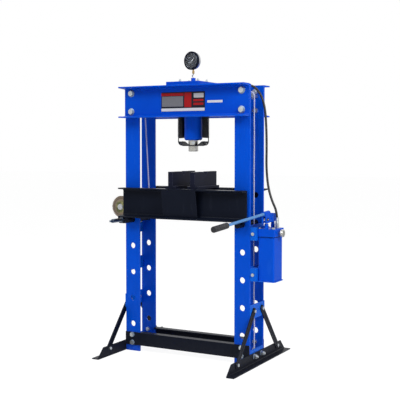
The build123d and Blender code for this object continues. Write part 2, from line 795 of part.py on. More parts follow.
def bed():
    """Two stiffened channels tied by round bars, the pins that they rest on, and two V blocks across them."""
    beam = channel(bed_height, bed_width, bed_web, bed_flange_tip, bed_flange_root, bed_root_radius,
                   bed_toe_radius, 2 * bed_half_length)
    rise = (bed_height - bed_flange_tip) / 2
    top, low = bed_width - stiffener_top_inset, bed_width - stiffener_low_inset
    panel = Polygon((top, rise), (top - stiffener_thickness, rise), (low - stiffener_thickness, -rise),
                    (low, -rise),
                    align=None)
    beam += extrude(Plane(origin=(0, 0, 0), x_dir=(0, -1, 0), z_dir=(-1, 0, 0)) * panel,
                    stiffener_half_length, both=True)
    front = Pos(0, -bed_face, bed_bottom + bed_height / 2) * beam
    bars = []
    spacer_height = bed_top - spacer_drop
    for x in (-spacer_offset, spacer_offset):
        bars.append(ring(spacer_diameter, spacer_bore, (x, -bed_face, spacer_height),
                         (x, bed_face, spacer_height)))
    rear = mirror(front, Plane.XZ)
    shift = Pos(bed_offset, 0, 0)
    bars = [shift * bar for bar in bars]
    for x in (bed_sheave_left_x, bed_sheave_right_x):
        bars.append(rod(sheave_pin_diameter, (x, -bed_face, bed_sheave_height),
                        (x, bed_face, bed_sheave_height)))
    nodes = {"bed_channel_front": shift * front, "bed_channel_rear": shift * rear,
             "bed_spacers": group(*bars)}

    half = bed_pin_length / 2
    pins = []
    for x in (-upright_centre, upright_centre):
        pin = rod(bed_pin_diameter, (x, -half, bed_pin_height), (x, half, bed_pin_height))
        pins.append(chamfer(pin.edges().filter_by(GeomType.CIRCLE), bed_pin_chamfer))
    nodes["bed_pins"] = group(*pins)

    for side, sign in (("left", -1), ("right", 1)):
        nodes["v_block_" + side] = Pos(block_centre_x + sign * block_offset, 0, bed_top) * v_block()
    return nodes


def v_block():
    """A plate on edge with a V notch in its top edge and a wider foot."""
    half = block_length / 2
    notch = block_notch_width / 2
    outline = Polygon((-half, 0), (half, 0), (half, block_height), (notch, block_height),
                      (0, block_height - block_notch_depth), (-notch, block_height), (-half, block_height),
                      align=None)
    body = extrude(Plane.YZ * outline, block_thickness / 2, both=True)
    body += block(-block_foot_width / 2, block_foot_width / 2, -half, half, 0, block_foot_height)
    ends = body.edges().filter_by(Axis.X).filter_by(lambda e: e.center().Z > block_height - seat_gap
                                                    and abs(e.center().Y) > half - seat_gap)
    return chamfer(ends, block_edge)


# Hand pump

def pump():
    """Oil tank, head, brackets, plunger guide, fulcrum post, valve knob, hose ends and their bolts."""
    nodes = {}
    tank = block(tank_inner, tank_outer, tank_front, tank_back, tank_bottom, tank_top)
    tank = fillet(tank.edges().filter_by(Axis.Z), tank_corner)
    tank += block(tank_inner, tank_outer + tank_lip, tank_front - tank_lip, tank_back + tank_lip, tank_bottom,
                  tank_bottom + tank_lip_height)
    hollow = block(tank_inner + tank_wall, tank_outer - tank_wall, tank_front + tank_wall,
                   tank_back - tank_wall,
                   tank_bottom + tank_lip_height, tank_top + overrun)
    nodes["pump_tank"] = tank - fillet(hollow.edges().filter_by(Axis.Z), tank_corner - tank_wall)

    head = block(tank_inner, head_outer, tank_front - head_margin, tank_back + head_margin, tank_top,
                 head_top)
    head = fillet(head.edges().filter_by(Axis.Z), head_edge)
    bolts = []
    for x in (tank_inner + head_bolt_inset, head_outer - head_bolt_inset):
        for y in (tank_front - head_margin + head_bolt_inset, tank_back + head_margin - head_bolt_inset):
            if x < lever_x or y < 0:
                bolts += bolt((x, y, head_top), (0, 0, 1), head_bolt_size, head_height * hidden_depth_share,
                              nut=False)
                head -= rod(head_bolt_size, (x, y, head_top - head_height * hidden_depth_share),
                            (x, y, head_top + overrun))
    filler_x = (lever_x + post_diameter / 2 + head_outer) / 2
    filler_y = plunger_y + filler_offset
    head -= rod(filler_diameter / 2, (filler_x, filler_y, tank_top - overrun),
                (filler_x, filler_y, head_top + overrun))
    plug = hexagon_bar(filler_diameter, (filler_x, filler_y, head_top),
                       (filler_x, filler_y, head_top + filler_height))
    plug += rod(filler_diameter / 2, (filler_x, filler_y, head_top - filler_height),
                (filler_x, filler_y, head_top))
    bolts += plug.solids()

    valve_z = head_top - valve_drop
    head -= rod(valve_stem_diameter + 2 * running_clearance, (head_outer - valve_stem_depth, valve_y,
                                                              valve_z),
                (head_outer + overrun, valve_y, valve_z))
    head -= rod(plunger_diameter + 2 * running_clearance,
                (lever_x, plunger_y, tank_top + plunger_floor - overrun),
                (lever_x, plunger_y, head_top + overrun))
    nodes["pump_head"] = head
    nodes["release_valve"] = release_valve(valve_z)

    nodes["plunger_guide"] = ring(post_diameter, plunger_diameter + 2 * running_clearance,
                                  (lever_x, plunger_y, head_top),
                                  (lever_x, plunger_y, head_top + plunger_guide_height))
    post = rod(post_diameter, (lever_x, fulcrum_y, head_top), (lever_x, fulcrum_y, fulcrum_height))
    post += rod(post_eye_diameter, (lever_x - post_flat / 2, fulcrum_y, fulcrum_height),
                (lever_x + post_flat / 2, fulcrum_y, fulcrum_height))
    lug_bottom = fulcrum_height - post_lug_drop
    lug = block(lever_x - post_flat / 2, lever_x + post_flat / 2, fulcrum_y - post_diameter,
                fulcrum_y + post_diameter,
                lug_bottom, fulcrum_height + post_eye_diameter)
    post -= block(lever_x - post_diameter, lever_x + post_diameter, fulcrum_y - post_diameter,
                  fulcrum_y + post_diameter,
                  lug_bottom, fulcrum_height + post_eye_diameter) - lug
    post -= hole(lever_pin_diameter + 2 * running_clearance, (lever_x - post_flat, fulcrum_y, fulcrum_height),
                 (lever_x + post_flat, fulcrum_y, fulcrum_height))
    nodes["fulcrum_post"] = post

    brackets = []
    for bottom in (lower_bracket_bottom, upper_bracket_bottom):
        back = bracket_front + bracket_depth
        top = bottom + bracket_height
        bracket = block(frame_half_width, tank_inner, bracket_front, back, bottom, top)
        bracket -= block(frame_half_width + bracket_wall, tank_inner - bracket_wall,
                         bracket_front + bracket_wall,
                         back - bracket_wall, bottom - overrun, top - bracket_wall)
        brackets.append(fillet(bracket.edges().filter_by(Axis.Z).group_by(Axis.Y)[0], head_edge))
        z = bottom + bracket_height * bracket_bolt_rise_share
        x = (frame_half_width + tank_inner) / 2
        bolts += bolt((x, bracket_front, z), (0, -1, 0), bracket_bolt_size, bracket_wall, nut=False)
        brackets[-1] -= hole(bracket_bolt_size, (x, bracket_front, z), (x, bracket_front + bracket_wall, z))
    nodes["pump_brackets"] = group(*brackets)
    for y, z in winch_bolt_places():
        bolts += bolt((-frame_half_width - winch_plate, y, z), (-1, 0, 0), winch_bolt_size,
                      winch_plate + batten_thickness)
    nodes["bracket_bolts"] = group(*bolts)
    return nodes


def release_valve(valve_z):
    """Valve stem in the head with a fluted knob on its end."""
    knob_start = head_outer + valve_neck
    stem = rod(valve_stem_diameter, (head_outer - valve_stem_depth + seat_gap, valve_y, valve_z),
               (knob_start + seat_gap, valve_y, valve_z))
    knob = rod(valve_knob_diameter, (knob_start, valve_y, valve_z),
               (knob_start + valve_knob_height, valve_y, valve_z))
    knob = chamfer(knob.edges().filter_by(GeomType.CIRCLE), head_edge)
    for i in range(valve_flute_count):
        angle = 2 * math.pi * i / valve_flute_count
        y = valve_y + valve_knob_diameter / 2 * math.cos(angle)
        z = valve_z + valve_knob_diameter / 2 * math.sin(angle)
        knob -= hole(valve_flute_diameter, (knob_start, y, z), (knob_start + valve_knob_height, y, z))
    return stem + knob


def lever():
    """Slotted lever on the fulcrum pin, the handle tube in its socket, the grip and the plunger."""
    half_gap = post_flat / 2 + cheek_gap
    socket_back = socket_length - socket_front
    low = -cheek_height / 2
    outline = Polygon((-cheek_front, low), (cheek_back, low), (cheek_back, cheek_back_rise),
                      (socket_back, socket_rise),
                      (-cheek_front, socket_rise), align=None)
    fork = rod(socket_diameter, (0, -socket_front, socket_rise), (0, socket_back, socket_rise))
    for near in (-half_gap - cheek_thickness, half_gap):
        fork += extrude(Plane(origin=(near, 0, 0), x_dir=(0, 1, 0), z_dir=(1, 0, 0)) * outline,
                        cheek_thickness)
    half_width = half_gap + cheek_thickness
    fork -= hole(lever_pin_diameter, (-half_width, 0, 0), (half_width, 0, 0))
    slot_centre = -plunger_reach_y - plunger_slot_length / 2 + plunger_slot_height / 2
    slot = Plane.YZ * Pos(slot_centre, 0) * SlotOverall(plunger_slot_length, plunger_slot_height)
    fork -= extrude(slot, half_width + overrun, both=True)
    bore_end = -socket_front + handle_in_socket
    fork -= rod(handle_diameter + 2 * handle_fit, (0, -socket_front - overrun, socket_rise),
                (0, bore_end, socket_rise))
    pin = rod(lever_pin_diameter, (-half_width, 0, 0), (half_width, 0, 0))
    handle = rod(handle_diameter, (0, -handle_tip + grip_rib_depth, socket_rise),
                 (0, bore_end - seat_gap, socket_rise))
    handle -= hole(handle_diameter - 2 * handle_wall, (0, -handle_tip, socket_rise),
                   (0, bore_end, socket_rise))
    grip = grip_sleeve()
    tilt = Pos(lever_x, fulcrum_y, fulcrum_height) * Rot(lever_droop, 0, 0)
    nodes = {"lever_fork": tilt * group(fork, pin), "pump_handle": tilt * handle, "handle_grip": tilt * grip}

    eye = (lever_x, plunger_y, plunger_pin_height)
    plunger = rod(plunger_diameter, (lever_x, plunger_y, tank_top + plunger_floor), eye)
    plunger += rod(post_eye_diameter, (eye[0] - post_flat / 2, *eye[1:]), (eye[0] + post_flat / 2, *eye[1:]))
    flat = block(lever_x - post_diameter, lever_x + post_diameter, plunger_y - post_diameter,
                 plunger_y + post_diameter,
                 plunger_pin_height - post_eye_diameter / 2, plunger_pin_height + post_eye_diameter)
    flat -= block(lever_x - post_flat / 2, lever_x + post_flat / 2, plunger_y - post_diameter,
                  plunger_y + post_diameter,
                  plunger_pin_height - post_eye_diameter, plunger_pin_height + 2 * post_eye_diameter)
    plunger -= flat
    across = half_width - seat_gap
    plunger += rod(plunger_pin_diameter, (eye[0] - across, *eye[1:]), (eye[0] + across, *eye[1:]))
    nodes["pump_plunger"] = plunger
    return nodes


def grip_sleeve():
    """Rubber sleeve with a closed end and shallow ribs, along the handle's axis."""
    outer = grip_diameter / 2
    inner = handle_diameter / 2 + running_clearance
    step = grip_length / (2 * grip_rib_count + 1)
    points = [(0, 0), (outer - grip_rib_depth, 0), (outer, grip_rib_depth)]
    for i in range(grip_rib_count):
        low = step * (2 * i + 1)
        points += [(outer, low), (outer - grip_rib_depth, low + grip_rib_depth),
                   (outer - grip_rib_depth, low + step - grip_rib_depth), (outer, low + step)]
    points += [(outer, grip_length - grip_rib_depth), (outer - grip_rib_depth, grip_length),
               (inner, grip_length),
               (inner, 2 * grip_rib_depth), (0, 2 * grip_rib_depth)]
    return Pos(0, -handle_tip - grip_rib_depth, socket_rise) * Rot(-90, 0, 0) * turned(points)


# Winch

def winch_bolt_places():
    """Corners of the winch frame where it is bolted to the left upright's upper plate."""
    ys = (winch_front + winch_plate + winch_bolt_inset, winch_back - winch_bolt_inset)
    zs = (winch_bottom + winch_bolt_inset, winch_top - winch_bolt_inset)
    return [(y, z) for y in ys for z in zs]


def tooth_angle(radius, base_radius, half_angle):
    """Half the angle that an involute tooth fills at a radius."""
    pressure = math.radians(pressure_angle)
    at_radius = math.acos(min(1, base_radius / radius))
    return half_angle + (math.tan(pressure) - pressure) - (math.tan(at_radius) - at_radius)


def gear_outline(teeth, first_angle):
    """Involute gear outline with its first tooth at an angle in degrees."""
    pitch_radius = gear_module * teeth / 2
    base_radius = pitch_radius * math.cos(math.radians(pressure_angle))
    tip = pitch_radius + addendum_share * gear_module
    root = pitch_radius - dedendum_share * gear_module
    start = max(base_radius, root)
    half_angle = math.pi / (2 * teeth) - gear_backlash / (4 * pitch_radius)
    radii = [start + (tip - start) * i / flank_steps for i in range(flank_steps + 1)]
    flank = [(radius, tooth_angle(radius, base_radius, half_angle)) for radius in radii]
    flank = [(root, flank[0][1])] + flank if root < base_radius else flank
    points = []
    for i in range(teeth):
        centre = math.radians(first_angle) + 2 * math.pi * i / teeth
        tooth = [(r, centre - a) for r, a in flank] + [(r, centre + a) for r, a in reversed(flank)]
        points += [(r * math.cos(a), r * math.sin(a)) for r, a in tooth]
    return Polygon(*points, align=None)


def winch():
    """Winch frame, drum and shaft, gear, pinion shaft and the rope wound on the drum."""
    nodes = {}
    outer_x = winch_axis_x - winch_reach
    back_face = -frame_half_width
    frame = block(back_face - winch_plate, back_face, winch_front, winch_back + winch_plate, winch_bottom,
                  winch_top)
    for y in (winch_front, winch_back):
        side = block(outer_x, back_face, y, y + winch_plate, winch_bottom, winch_top)
        corners = side.edges().filter_by(Axis.Y).group_by(Axis.X)[0]
        frame += fillet(corners, winch_corner)
    for y, z in winch_bolt_places():
        frame -= hole(winch_bolt_size + hole_clearance, (back_face - winch_plate, y, z), (back_face, y, z))
    rear = winch_back + winch_plate
    for diameter, z in ((drum_shaft_diameter, winch_axis_height), (pinion_shaft_diameter, pinion_height)):
        frame -= hole(diameter + 2 * running_clearance, (winch_axis_x, winch_front, z),
                      (winch_axis_x, rear, z))
    nodes["winch_frame"] = frame

    def along(y0, y1, diameter, z):
        return rod(diameter, (winch_axis_x, y0, z), (winch_axis_x, y1, z))

    axis_z = winch_axis_height
    first = winch_front + winch_plate + drum_side_gap
    last = winch_back - drum_side_gap
    drum = along(gear_back - gear_width, rear + drum_side_gap, drum_shaft_diameter, axis_z)
    drum += along(first, last, drum_diameter, axis_z)
    drum += along(first, first + drum_flange_thickness, drum_flange_diameter, axis_z)
    drum += along(last - drum_flange_thickness, last, drum_flange_diameter, axis_z)
    nodes["winch_drum"] = drum
    wound_start = first + drum_flange_thickness
    winding = along(wound_start, wound_start + winding_length, 2 * winding_radius, axis_z)
    nodes["rope_winding"] = winding - along(wound_start - overrun, wound_start + winding_length + overrun,
                                            drum_diameter, axis_z)

    face = Plane(origin=(winch_axis_x, gear_back, axis_z), x_dir=(1, 0, 0), z_dir=(0, -1, 0))
    gear = extrude(face * gear_outline(gear_teeth, -90), gear_width)
    dome_r = gear_dome_diameter / 2
    hub_r = gear_hub_diameter / 2
    dome = turned([(0, 0), (dome_r, 0), (dome_r, gear_width), (hub_r, gear_width + gear_dome_height),
                   (hub_r, gear_width + gear_hub_height), (0, gear_width + gear_hub_height)])
    gear += Pos(winch_axis_x, gear_back, axis_z) * Rot(90, 0, 0) * dome
    gear -= hole(drum_shaft_diameter, (winch_axis_x, gear_back - gear_width, axis_z),
                 (winch_axis_x, gear_back, axis_z))
    nodes["winch_gear"] = gear

    low = Plane(origin=(winch_axis_x, gear_back, pinion_height), x_dir=(1, 0, 0), z_dir=(0, -1, 0))
    pinion = extrude(low * gear_outline(pinion_teeth, 90 + 180 / pinion_teeth), gear_width)
    sleeve_end = gear_back - gear_width - pinion_sleeve_length
    pinion += along(gear_back - gear_width, rear + drum_side_gap, pinion_shaft_diameter, pinion_height)
    pinion += along(sleeve_end, gear_back - gear_width, pinion_sleeve_diameter, pinion_height)
    half = pinion_square / 2
    pinion += block(winch_axis_x - half, winch_axis_x + half, sleeve_end - pinion_square_length, sleeve_end,
                    pinion_height - half, pinion_height + half)
    nodes["winch_pinion"] = pinion
    return nodes


# Rope, sheaves and hose

def sheave(radius, x, z):
    """A grooved wheel across Y that turns on its pin, with the rope's middle at a radius."""
    rim = radius + sheave_rim
    half = sheave_thickness / 2
    groove = rope_radius + groove_clearance
    bore = sheave_pin_diameter / 2 + running_clearance
    floor = radius - groove
    outline = Polygon((bore, -half), (rim, -half), (rim, -groove), (floor, -groove), (floor, groove),
                      (rim, groove),
                      (rim, half), (bore, half), align=None)
    wheel = revolve(Plane.XZ * outline, Axis.Z)
    return Pos(x, rope_y, z) * Rot(90, 0, 0) * wheel


def rope_path(points, arcs):
    """A rope solid along lines between the points, or an arc where the table names its top or bottom."""
    edges = []
    for i, (a, b) in enumerate(zip(points, points[1:])):
        edges.append(ThreePointArc(a, arcs[i], b) if i in arcs else Line(a, b))
    path = Wire(edges)
    return sweep(Plane(origin=points[0], z_dir=path % 0) * Circle(rope_radius), path,
                 transition=Transition.RIGHT)


def ropes():
    """The lifting rope from the drum to its loop at the top right, its sheaves, pins and loose tail."""
    nodes = {"top_sheave": sheave(top_sheave_radius, top_sheave_x, rope_top_height),
             "bed_sheave_left": sheave(bed_sheave_radius, bed_sheave_left_x, bed_sheave_height),
             "bed_sheave_right": sheave(bed_sheave_radius, bed_sheave_right_x, bed_sheave_height)}
    r = bed_sheave_radius
    top_r = top_sheave_radius
    diagonal = r * math.sqrt(hidden_depth_share)
    drum_x = winch_axis_x + winding_radius + rope_radius + seat_gap
    rise = rod(rope_diameter, (drum_x, rope_drum_y, winch_axis_height),
               (top_sheave_x - top_r, rope_y, rope_top_height - 2 * seat_gap))
    over = rope_path([(top_sheave_x - top_r, rope_y, rope_top_height),
                      (top_sheave_x + top_r, rope_y, rope_top_height)],
                     {0: (top_sheave_x, rope_y, rope_top_height + top_r)})
    nodes["rope_lift_line"] = group(rise, over)

    left, right, z = bed_sheave_left_x, bed_sheave_right_x, bed_sheave_height
    under = [(left - r, rope_y, z), (left, rope_y, z - r), (right, rope_y, z - r), (right + r, rope_y, z)]
    nodes["rope_bed_run"] = rope_path(under, {0: (left - diagonal, rope_y, z - diagonal),
                                              2: (right + diagonal, rope_y, z - diagonal)})
    loop_r = (anchor_sleeve_diameter + rope_diameter) / 2 + seat_gap
    loop_x, tail_x = anchor_x - loop_r, anchor_x + loop_r
    lows = (left - r, right + r)
    tops = (top_sheave_x + top_r, loop_x)
    strands = [rod(rope_diameter, (low, rope_y, z + seat_gap), (top, rope_y, rope_top_height - seat_gap))
               for low, top in zip(lows, tops)]
    nodes["rope_strands"] = group(*strands)

    loop = rope_path([(loop_x, rope_y, rope_top_height), (loop_x, rope_y, anchor_height),
                      (tail_x, rope_y, anchor_height)],
                     {1: (anchor_x, rope_y, anchor_height + loop_r)})
    route = [(tail_x + x, rope_y + y, rope_top_height * share) for x, y, share in tail_route_shares]
    tail = pipe([(tail_x, rope_y, anchor_height)] + route, rope_diameter)
    nodes["rope_tail"] = group(loop, tail)
    sheave_pin = rod(sheave_pin_diameter, (top_sheave_x, -half_depth, rope_top_height),
                     (top_sheave_x, half_depth, rope_top_height))
    anchor = rod(anchor_pin_diameter, (anchor_x, -half_depth, anchor_height),
                 (anchor_x, half_depth, anchor_height))
    half = anchor_sleeve_length / 2
    anchor += rod(anchor_sleeve_diameter, (anchor_x, -half, anchor_height), (anchor_x, half, anchor_height))
    clip_low = rope_top_height + seat_gap
    clip = block(loop_x - rope_radius - clip_margin, loop_x + clip_reach, rope_y - clip_depth / 2,
                 rope_y + clip_depth / 2, clip_low, clip_low + clip_height)
    clip -= hole(rope_diameter + 2 * seat_gap, (loop_x, rope_y, clip_low),
                 (loop_x, rope_y, clip_low + clip_height))
    clip -= hole(anchor_sleeve_diameter + 2 * seat_gap, (anchor_x, -half, anchor_height),
                 (anchor_x, half, anchor_height))
    nodes["rope_pins"] = group(sheave_pin, anchor, clip)
    return nodes


def hose():
    """Pressure hose with a fitting at each end."""
    port = Vector(1, 0, 0).rotate(Axis.Z, hose_port_angle)
    seat = port * (barrel_diameter / 2 - seat_gap) + Vector(0, 0, hose_port_height)
    first = seat + port * hose_fitting_length
    last = Vector(hose_end_x, hose_end_y, head_top + hose_head_fitting_height)
    top = hexagon_bar(hose_fitting_flats, tuple(seat), tuple(first))
    top -= rod(barrel_diameter, (0, 0, barrel_bottom), (0, 0, frame_height))
    low = hexagon_bar(hose_fitting_flats, (last.X, last.Y, head_top), tuple(last))
    route = [(first.X + (last.X - first.X) * x, y, last.Z + (first.Z - last.Z) * z) for x, y,
             z in hose_route_shares]
    start = [tuple(first), tuple(first + port * hose_first_run)]
    end = [tuple(last + Vector(0, 0, hose_last_run)), tuple(last)]
    tube = pipe(start + route + end, hose_diameter)
    return {"hose_fittings": group(top, low), "hydraulic_hose": tube}


def main():
    """Build every node, centre the whole on its footprint and write one file per node."""
    nodes = {}
    for build in (uprights, battens, top_beams, base, cylinder, ram, springs, gauge, bed, pump, lever,
                  winch, ropes,
                  hose):
        nodes.update(build())
    box = group(*nodes.values()).bounding_box()
    centre = box.center()
    place = Pos(-centre.X, -centre.Y, -box.min.Z)
    print("moved by", round(-centre.X, 4), round(-centre.Y, 4), round(-box.min.Z, 4), "size", box.size)
    os.makedirs("parts", exist_ok=True)
    for name, shape in nodes.items():
        export_step(place * group(shape), os.path.join("parts", name + ".step"))


main()
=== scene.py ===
import math

import bmesh
import bpy
from mathutils import Matrix, Vector


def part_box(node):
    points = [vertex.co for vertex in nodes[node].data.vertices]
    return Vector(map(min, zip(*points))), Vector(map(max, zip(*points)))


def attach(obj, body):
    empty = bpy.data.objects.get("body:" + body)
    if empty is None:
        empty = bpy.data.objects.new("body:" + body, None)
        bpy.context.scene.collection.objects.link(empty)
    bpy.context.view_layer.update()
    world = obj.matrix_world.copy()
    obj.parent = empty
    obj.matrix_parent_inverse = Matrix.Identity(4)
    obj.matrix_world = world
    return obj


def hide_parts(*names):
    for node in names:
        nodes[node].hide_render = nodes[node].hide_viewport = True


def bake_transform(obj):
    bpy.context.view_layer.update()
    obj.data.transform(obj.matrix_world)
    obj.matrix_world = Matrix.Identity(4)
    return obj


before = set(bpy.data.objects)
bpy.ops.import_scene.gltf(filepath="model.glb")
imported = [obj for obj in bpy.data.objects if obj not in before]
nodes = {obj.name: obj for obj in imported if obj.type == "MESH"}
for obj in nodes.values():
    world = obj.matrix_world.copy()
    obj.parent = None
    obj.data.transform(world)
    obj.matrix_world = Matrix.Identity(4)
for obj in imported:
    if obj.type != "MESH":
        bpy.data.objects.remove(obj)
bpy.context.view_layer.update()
scene = bpy.context.scene

# Places in metres: points are written from the ram's axis on the floor and moved into the frame
nose_low, nose_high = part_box("ram_nose")
RAM_AXIS = Vector(((nose_low.x + nose_high.x) / 2, (nose_low.y + nose_high.y) / 2, 0))
UP = Vector((0, 0, 1))


def at(x, y, z):
    """A point given from the ram's axis, in the frame."""
    return Vector((x, y, z)) + RAM_AXIS


# Shaders

class Wire:
    """A node's output that can stand in sums and products."""

    def __init__(self, owner, socket):
        self.owner = owner
        self.socket = socket

    def maths(self, operation, a, b):
        return self.owner.node("ShaderNodeMath", {"operation": operation}, {0: a, 1: b})["Value"]

    def __add__(self, other):
        return self.maths("ADD", self, other)

    def __radd__(self, other):
        return self.maths("ADD", other, self)

    def __sub__(self, other):
        return self.maths("SUBTRACT", self, other)

    def __rsub__(self, other):
        return self.maths("SUBTRACT", other, self)

    def __mul__(self, other):
        return self.maths("MULTIPLY", self, other)

    def __rmul__(self, other):
        return self.maths("MULTIPLY", other, self)

    def __pow__(self, other):
        return self.maths("POWER", self, other)


class Outputs:
    """The outputs of one node, by name."""

    def __init__(self, owner, node):
        self.owner = owner
        self.node = node

    def __getitem__(self, name):
        return Wire(self.owner, self.node.outputs[name])


class Tree:
    """A node tree whose nodes are made, set and fed by one method."""

    def __init__(self, tree):
        self.tree = tree

    def node(self, kind, settings=None, inputs=None):
        made = self.tree.nodes.new(kind)
        for name, value in (settings or {}).items():
            setattr(made, name, value)
        for name, value in (inputs or {}).items():
            self.feed(made.inputs[name], value)
        return Outputs(self, made)

    def feed(self, socket, value):
        """Links a wire to a socket, or sets the socket to a plain value."""
        if isinstance(value, Wire):
            self.tree.links.new(value.socket, socket)
        elif isinstance(value, tuple) and len(value) == 3 and socket.type == "RGBA":
            socket.default_value = (*value, 1.0)
        else:
            socket.default_value = value


# Sockets of a Mix node that carry colours
MIX_A, MIX_B, MIX_RESULT = 6, 7, 2
# How far a rounded normal has turned from the plain one where an edge starts, and where it is full
EDGE_START, EDGE_FULL = 0.02, 0.16


class Finish(Tree):
    """One material: a principled shader and the nodes that feed it."""

    def __init__(self, name, **constants):
        self.material = bpy.data.materials.new(name)
        self.material.use_nodes = True
        super().__init__(self.material.node_tree)
        self.shader = self.tree.nodes["Principled BSDF"]
        self.place = self.node("ShaderNodeTexCoord")["Object"]
        self.set(**constants)

    def set(self, **values):
        """Feeds the shader's inputs, named with underscores for spaces."""
        for name, value in values.items():
            self.feed(self.shader.inputs[name.replace("_", " ")], value)

    def noise(self, scale, detail=3.0, stretch=None):
        """Noise from 0 to 1 at a scale in repeats per metre, stretched along an axis if asked."""
        where = self.place
        if stretch:
            where = self.node("ShaderNodeMapping", {}, {"Vector": self.place, "Scale": stretch})["Vector"]
        return self.node("ShaderNodeTexNoise", {}, {"Vector": where, "Scale": scale, "Detail": detail})["Fac"]

    def mask(self, value, low, high):
        """A value taken from 0 at low to 1 at high, and held there beyond them."""
        return self.node("ShaderNodeMapRange", {"interpolation_type": "SMOOTHSTEP"},
                         {"Value": value, "From Min": low, "From Max": high})["Result"]

    def mix(self, factor, a, b):
        """Colour a where the factor is 0, and b where it is 1."""
        made = self.node("ShaderNodeMix", {"data_type": "RGBA"}, {"Factor": factor, MIX_A: a, MIX_B: b})
        return made[MIX_RESULT]

    def axis(self, name):
        return self.node("ShaderNodeSeparateXYZ", {}, {"Vector": self.place})[name]

    def wave(self, value):
        """A smooth wave from 0 to 1."""
        return self.node("ShaderNodeMath", {"operation": "SINE"}, {0: value})["Value"] * 0.5 + 0.5

    def edge(self, reach):
        """1 along a piece's edges, from the difference between its rounded and its plain normal."""
        rounded = self.node("ShaderNodeBevel", {"samples": 4}, {"Radius": reach})["Normal"]
        plain = self.node("ShaderNodeNewGeometry")["Normal"]
        facing = self.node("ShaderNodeVectorMath", {"operation": "DOT_PRODUCT"},
                           {0: rounded, 1: plain})["Value"]
        return self.mask(1 - facing, EDGE_START, EDGE_FULL)

    def bump(self, height, distance, strength):
        made = self.node("ShaderNodeBump", {}, {"Height": height, "Distance": distance, "Strength": strength})
        self.set(Normal=made["Normal"])

    def on(self, *names):
        """Gives this finish to CAD nodes."""
        for name in names:
            data = nodes[name].data
            data.materials.clear()
            data.materials.append(self.material)


FLOOR_DUST, DUST_TOP = (0.20, 0.18, 0.16), 0.16
RUBBED_REACH = 0.0022
RUBBER_DUST = (0.09, 0.09, 0.095)


def powder_coat(name, colour, shade, worn, roughness, dust, wear=0.55):
    """Sprayed and baked paint: an orange-peel skin, faint cloudiness, rubbed edges, scuffs and floor dust."""
    coat = Finish(name, Specular_IOR_Level=0.05, Coat_Roughness=0.2)
    cloud = coat.noise(7.0, 2.0)
    scuff = coat.mask(coat.noise(38.0, 6.0, (1.0, 1.0, 0.25)), 0.60, 0.72)
    rubbed = coat.edge(RUBBED_REACH) * coat.mask(coat.noise(55.0, 4.0), 0.30, 0.62)
    low = 1 - coat.mask(coat.axis("Z"), 0.0, DUST_TOP)
    grime = low * coat.noise(60.0, 4.0) * dust
    paint = coat.mix(cloud, shade, colour)
    paint = coat.mix(scuff * 0.05 + rubbed * wear, paint, worn)
    paint = coat.mix(grime, paint, FLOOR_DUST)
    coat.set(Base_Color=paint, Roughness=roughness + 0.10 * scuff + 0.30 * grime - 0.05 * cloud,
             Coat_Weight=0.02 - 0.015 * scuff)
    coat.bump(coat.noise(620.0, 1.5), distance=0.00006, strength=0.4)
    return coat


def plated(name, colour, tint, roughness, grain=(1.0, 1.0, 1.0), metallic=1.0):
    """Plated or machined steel: cloudy tint, fine scratches and tool marks along one axis."""
    metal = Finish(name, Metallic=metallic)
    cloud = metal.noise(45.0, 4.0)
    scratch = metal.noise(900.0, 3.0, grain)
    stain = metal.mask(metal.noise(120.0, 5.0), 0.58, 0.75)
    metal.set(Base_Color=metal.mix(cloud, tint, colour),
              Roughness=roughness + 0.10 * scratch + 0.14 * stain)
    metal.bump(scratch, distance=0.00002, strength=0.6)
    return metal


def moulded_rubber(name, colour, roughness):
    """Rubber: nearly black, dusty in patches, with a fine matt skin."""
    rubber = Finish(name, Specular_IOR_Level=0.4)
    dust = rubber.mask(rubber.noise(90.0, 5.0), 0.52, 0.78)
    rubber.set(Base_Color=rubber.mix(dust * 0.5, colour, RUBBER_DUST), Roughness=roughness + 0.15 * dust)
    rubber.bump(rubber.noise(1500.0, 2.0), distance=0.00004, strength=0.5)
    return rubber


def mottled(name, dark, pale, scale, roughness):
    """Plain matt paint or print that varies a little between two colours."""
    made = Finish(name, Roughness=roughness)
    made.set(Base_Color=made.mix(made.noise(scale), dark, pale))
    return made


frame_blue = powder_coat("frame_blue", (0.0, 0.074, 0.60), (0.0, 0.062, 0.51), (0.06, 0.26, 0.80),
                         roughness=0.36, dust=0.10)
# A lighter copy of the frame's blue: painted light for the lit right-hand faces of the brackets and the tank
# lip
painted_lit_blue = powder_coat("painted_lit_blue", (0.003, 0.115, 0.64), (0.002, 0.095, 0.56), (0.08, 0.30, 0.82),
                           roughness=0.36, dust=0.10)
satin_black = powder_coat("satin_black", (0.0060, 0.0085, 0.0175), (0.0044, 0.0062, 0.0130),
                          (0.075, 0.080, 0.11), roughness=0.40, dust=0.06)
block_black = powder_coat("block_black", (0.0105, 0.0125, 0.0280), (0.0075, 0.0090, 0.0200),
                          (0.16, 0.17, 0.24), roughness=0.36, dust=0.0, wear=0.8)
# The frame's blue darkened as if in shade: painted shade for the seam under the pump head's overhang
seam_and_shade_dark = powder_coat("seam_and_shade_dark", (0.0, 0.010, 0.085), (0.0, 0.006, 0.055), (0.0, 0.03, 0.2),
                         roughness=0.5, dust=0.0)
handle_blue = powder_coat("handle_blue", (0.11, 0.27, 0.56), (0.08, 0.22, 0.48), (0.40, 0.52, 0.72),
                          roughness=0.28, dust=0.0)
bright_zinc = plated("bright_zinc", (0.60, 0.63, 0.65), (0.42, 0.46, 0.48), 0.28, metallic=0.9)
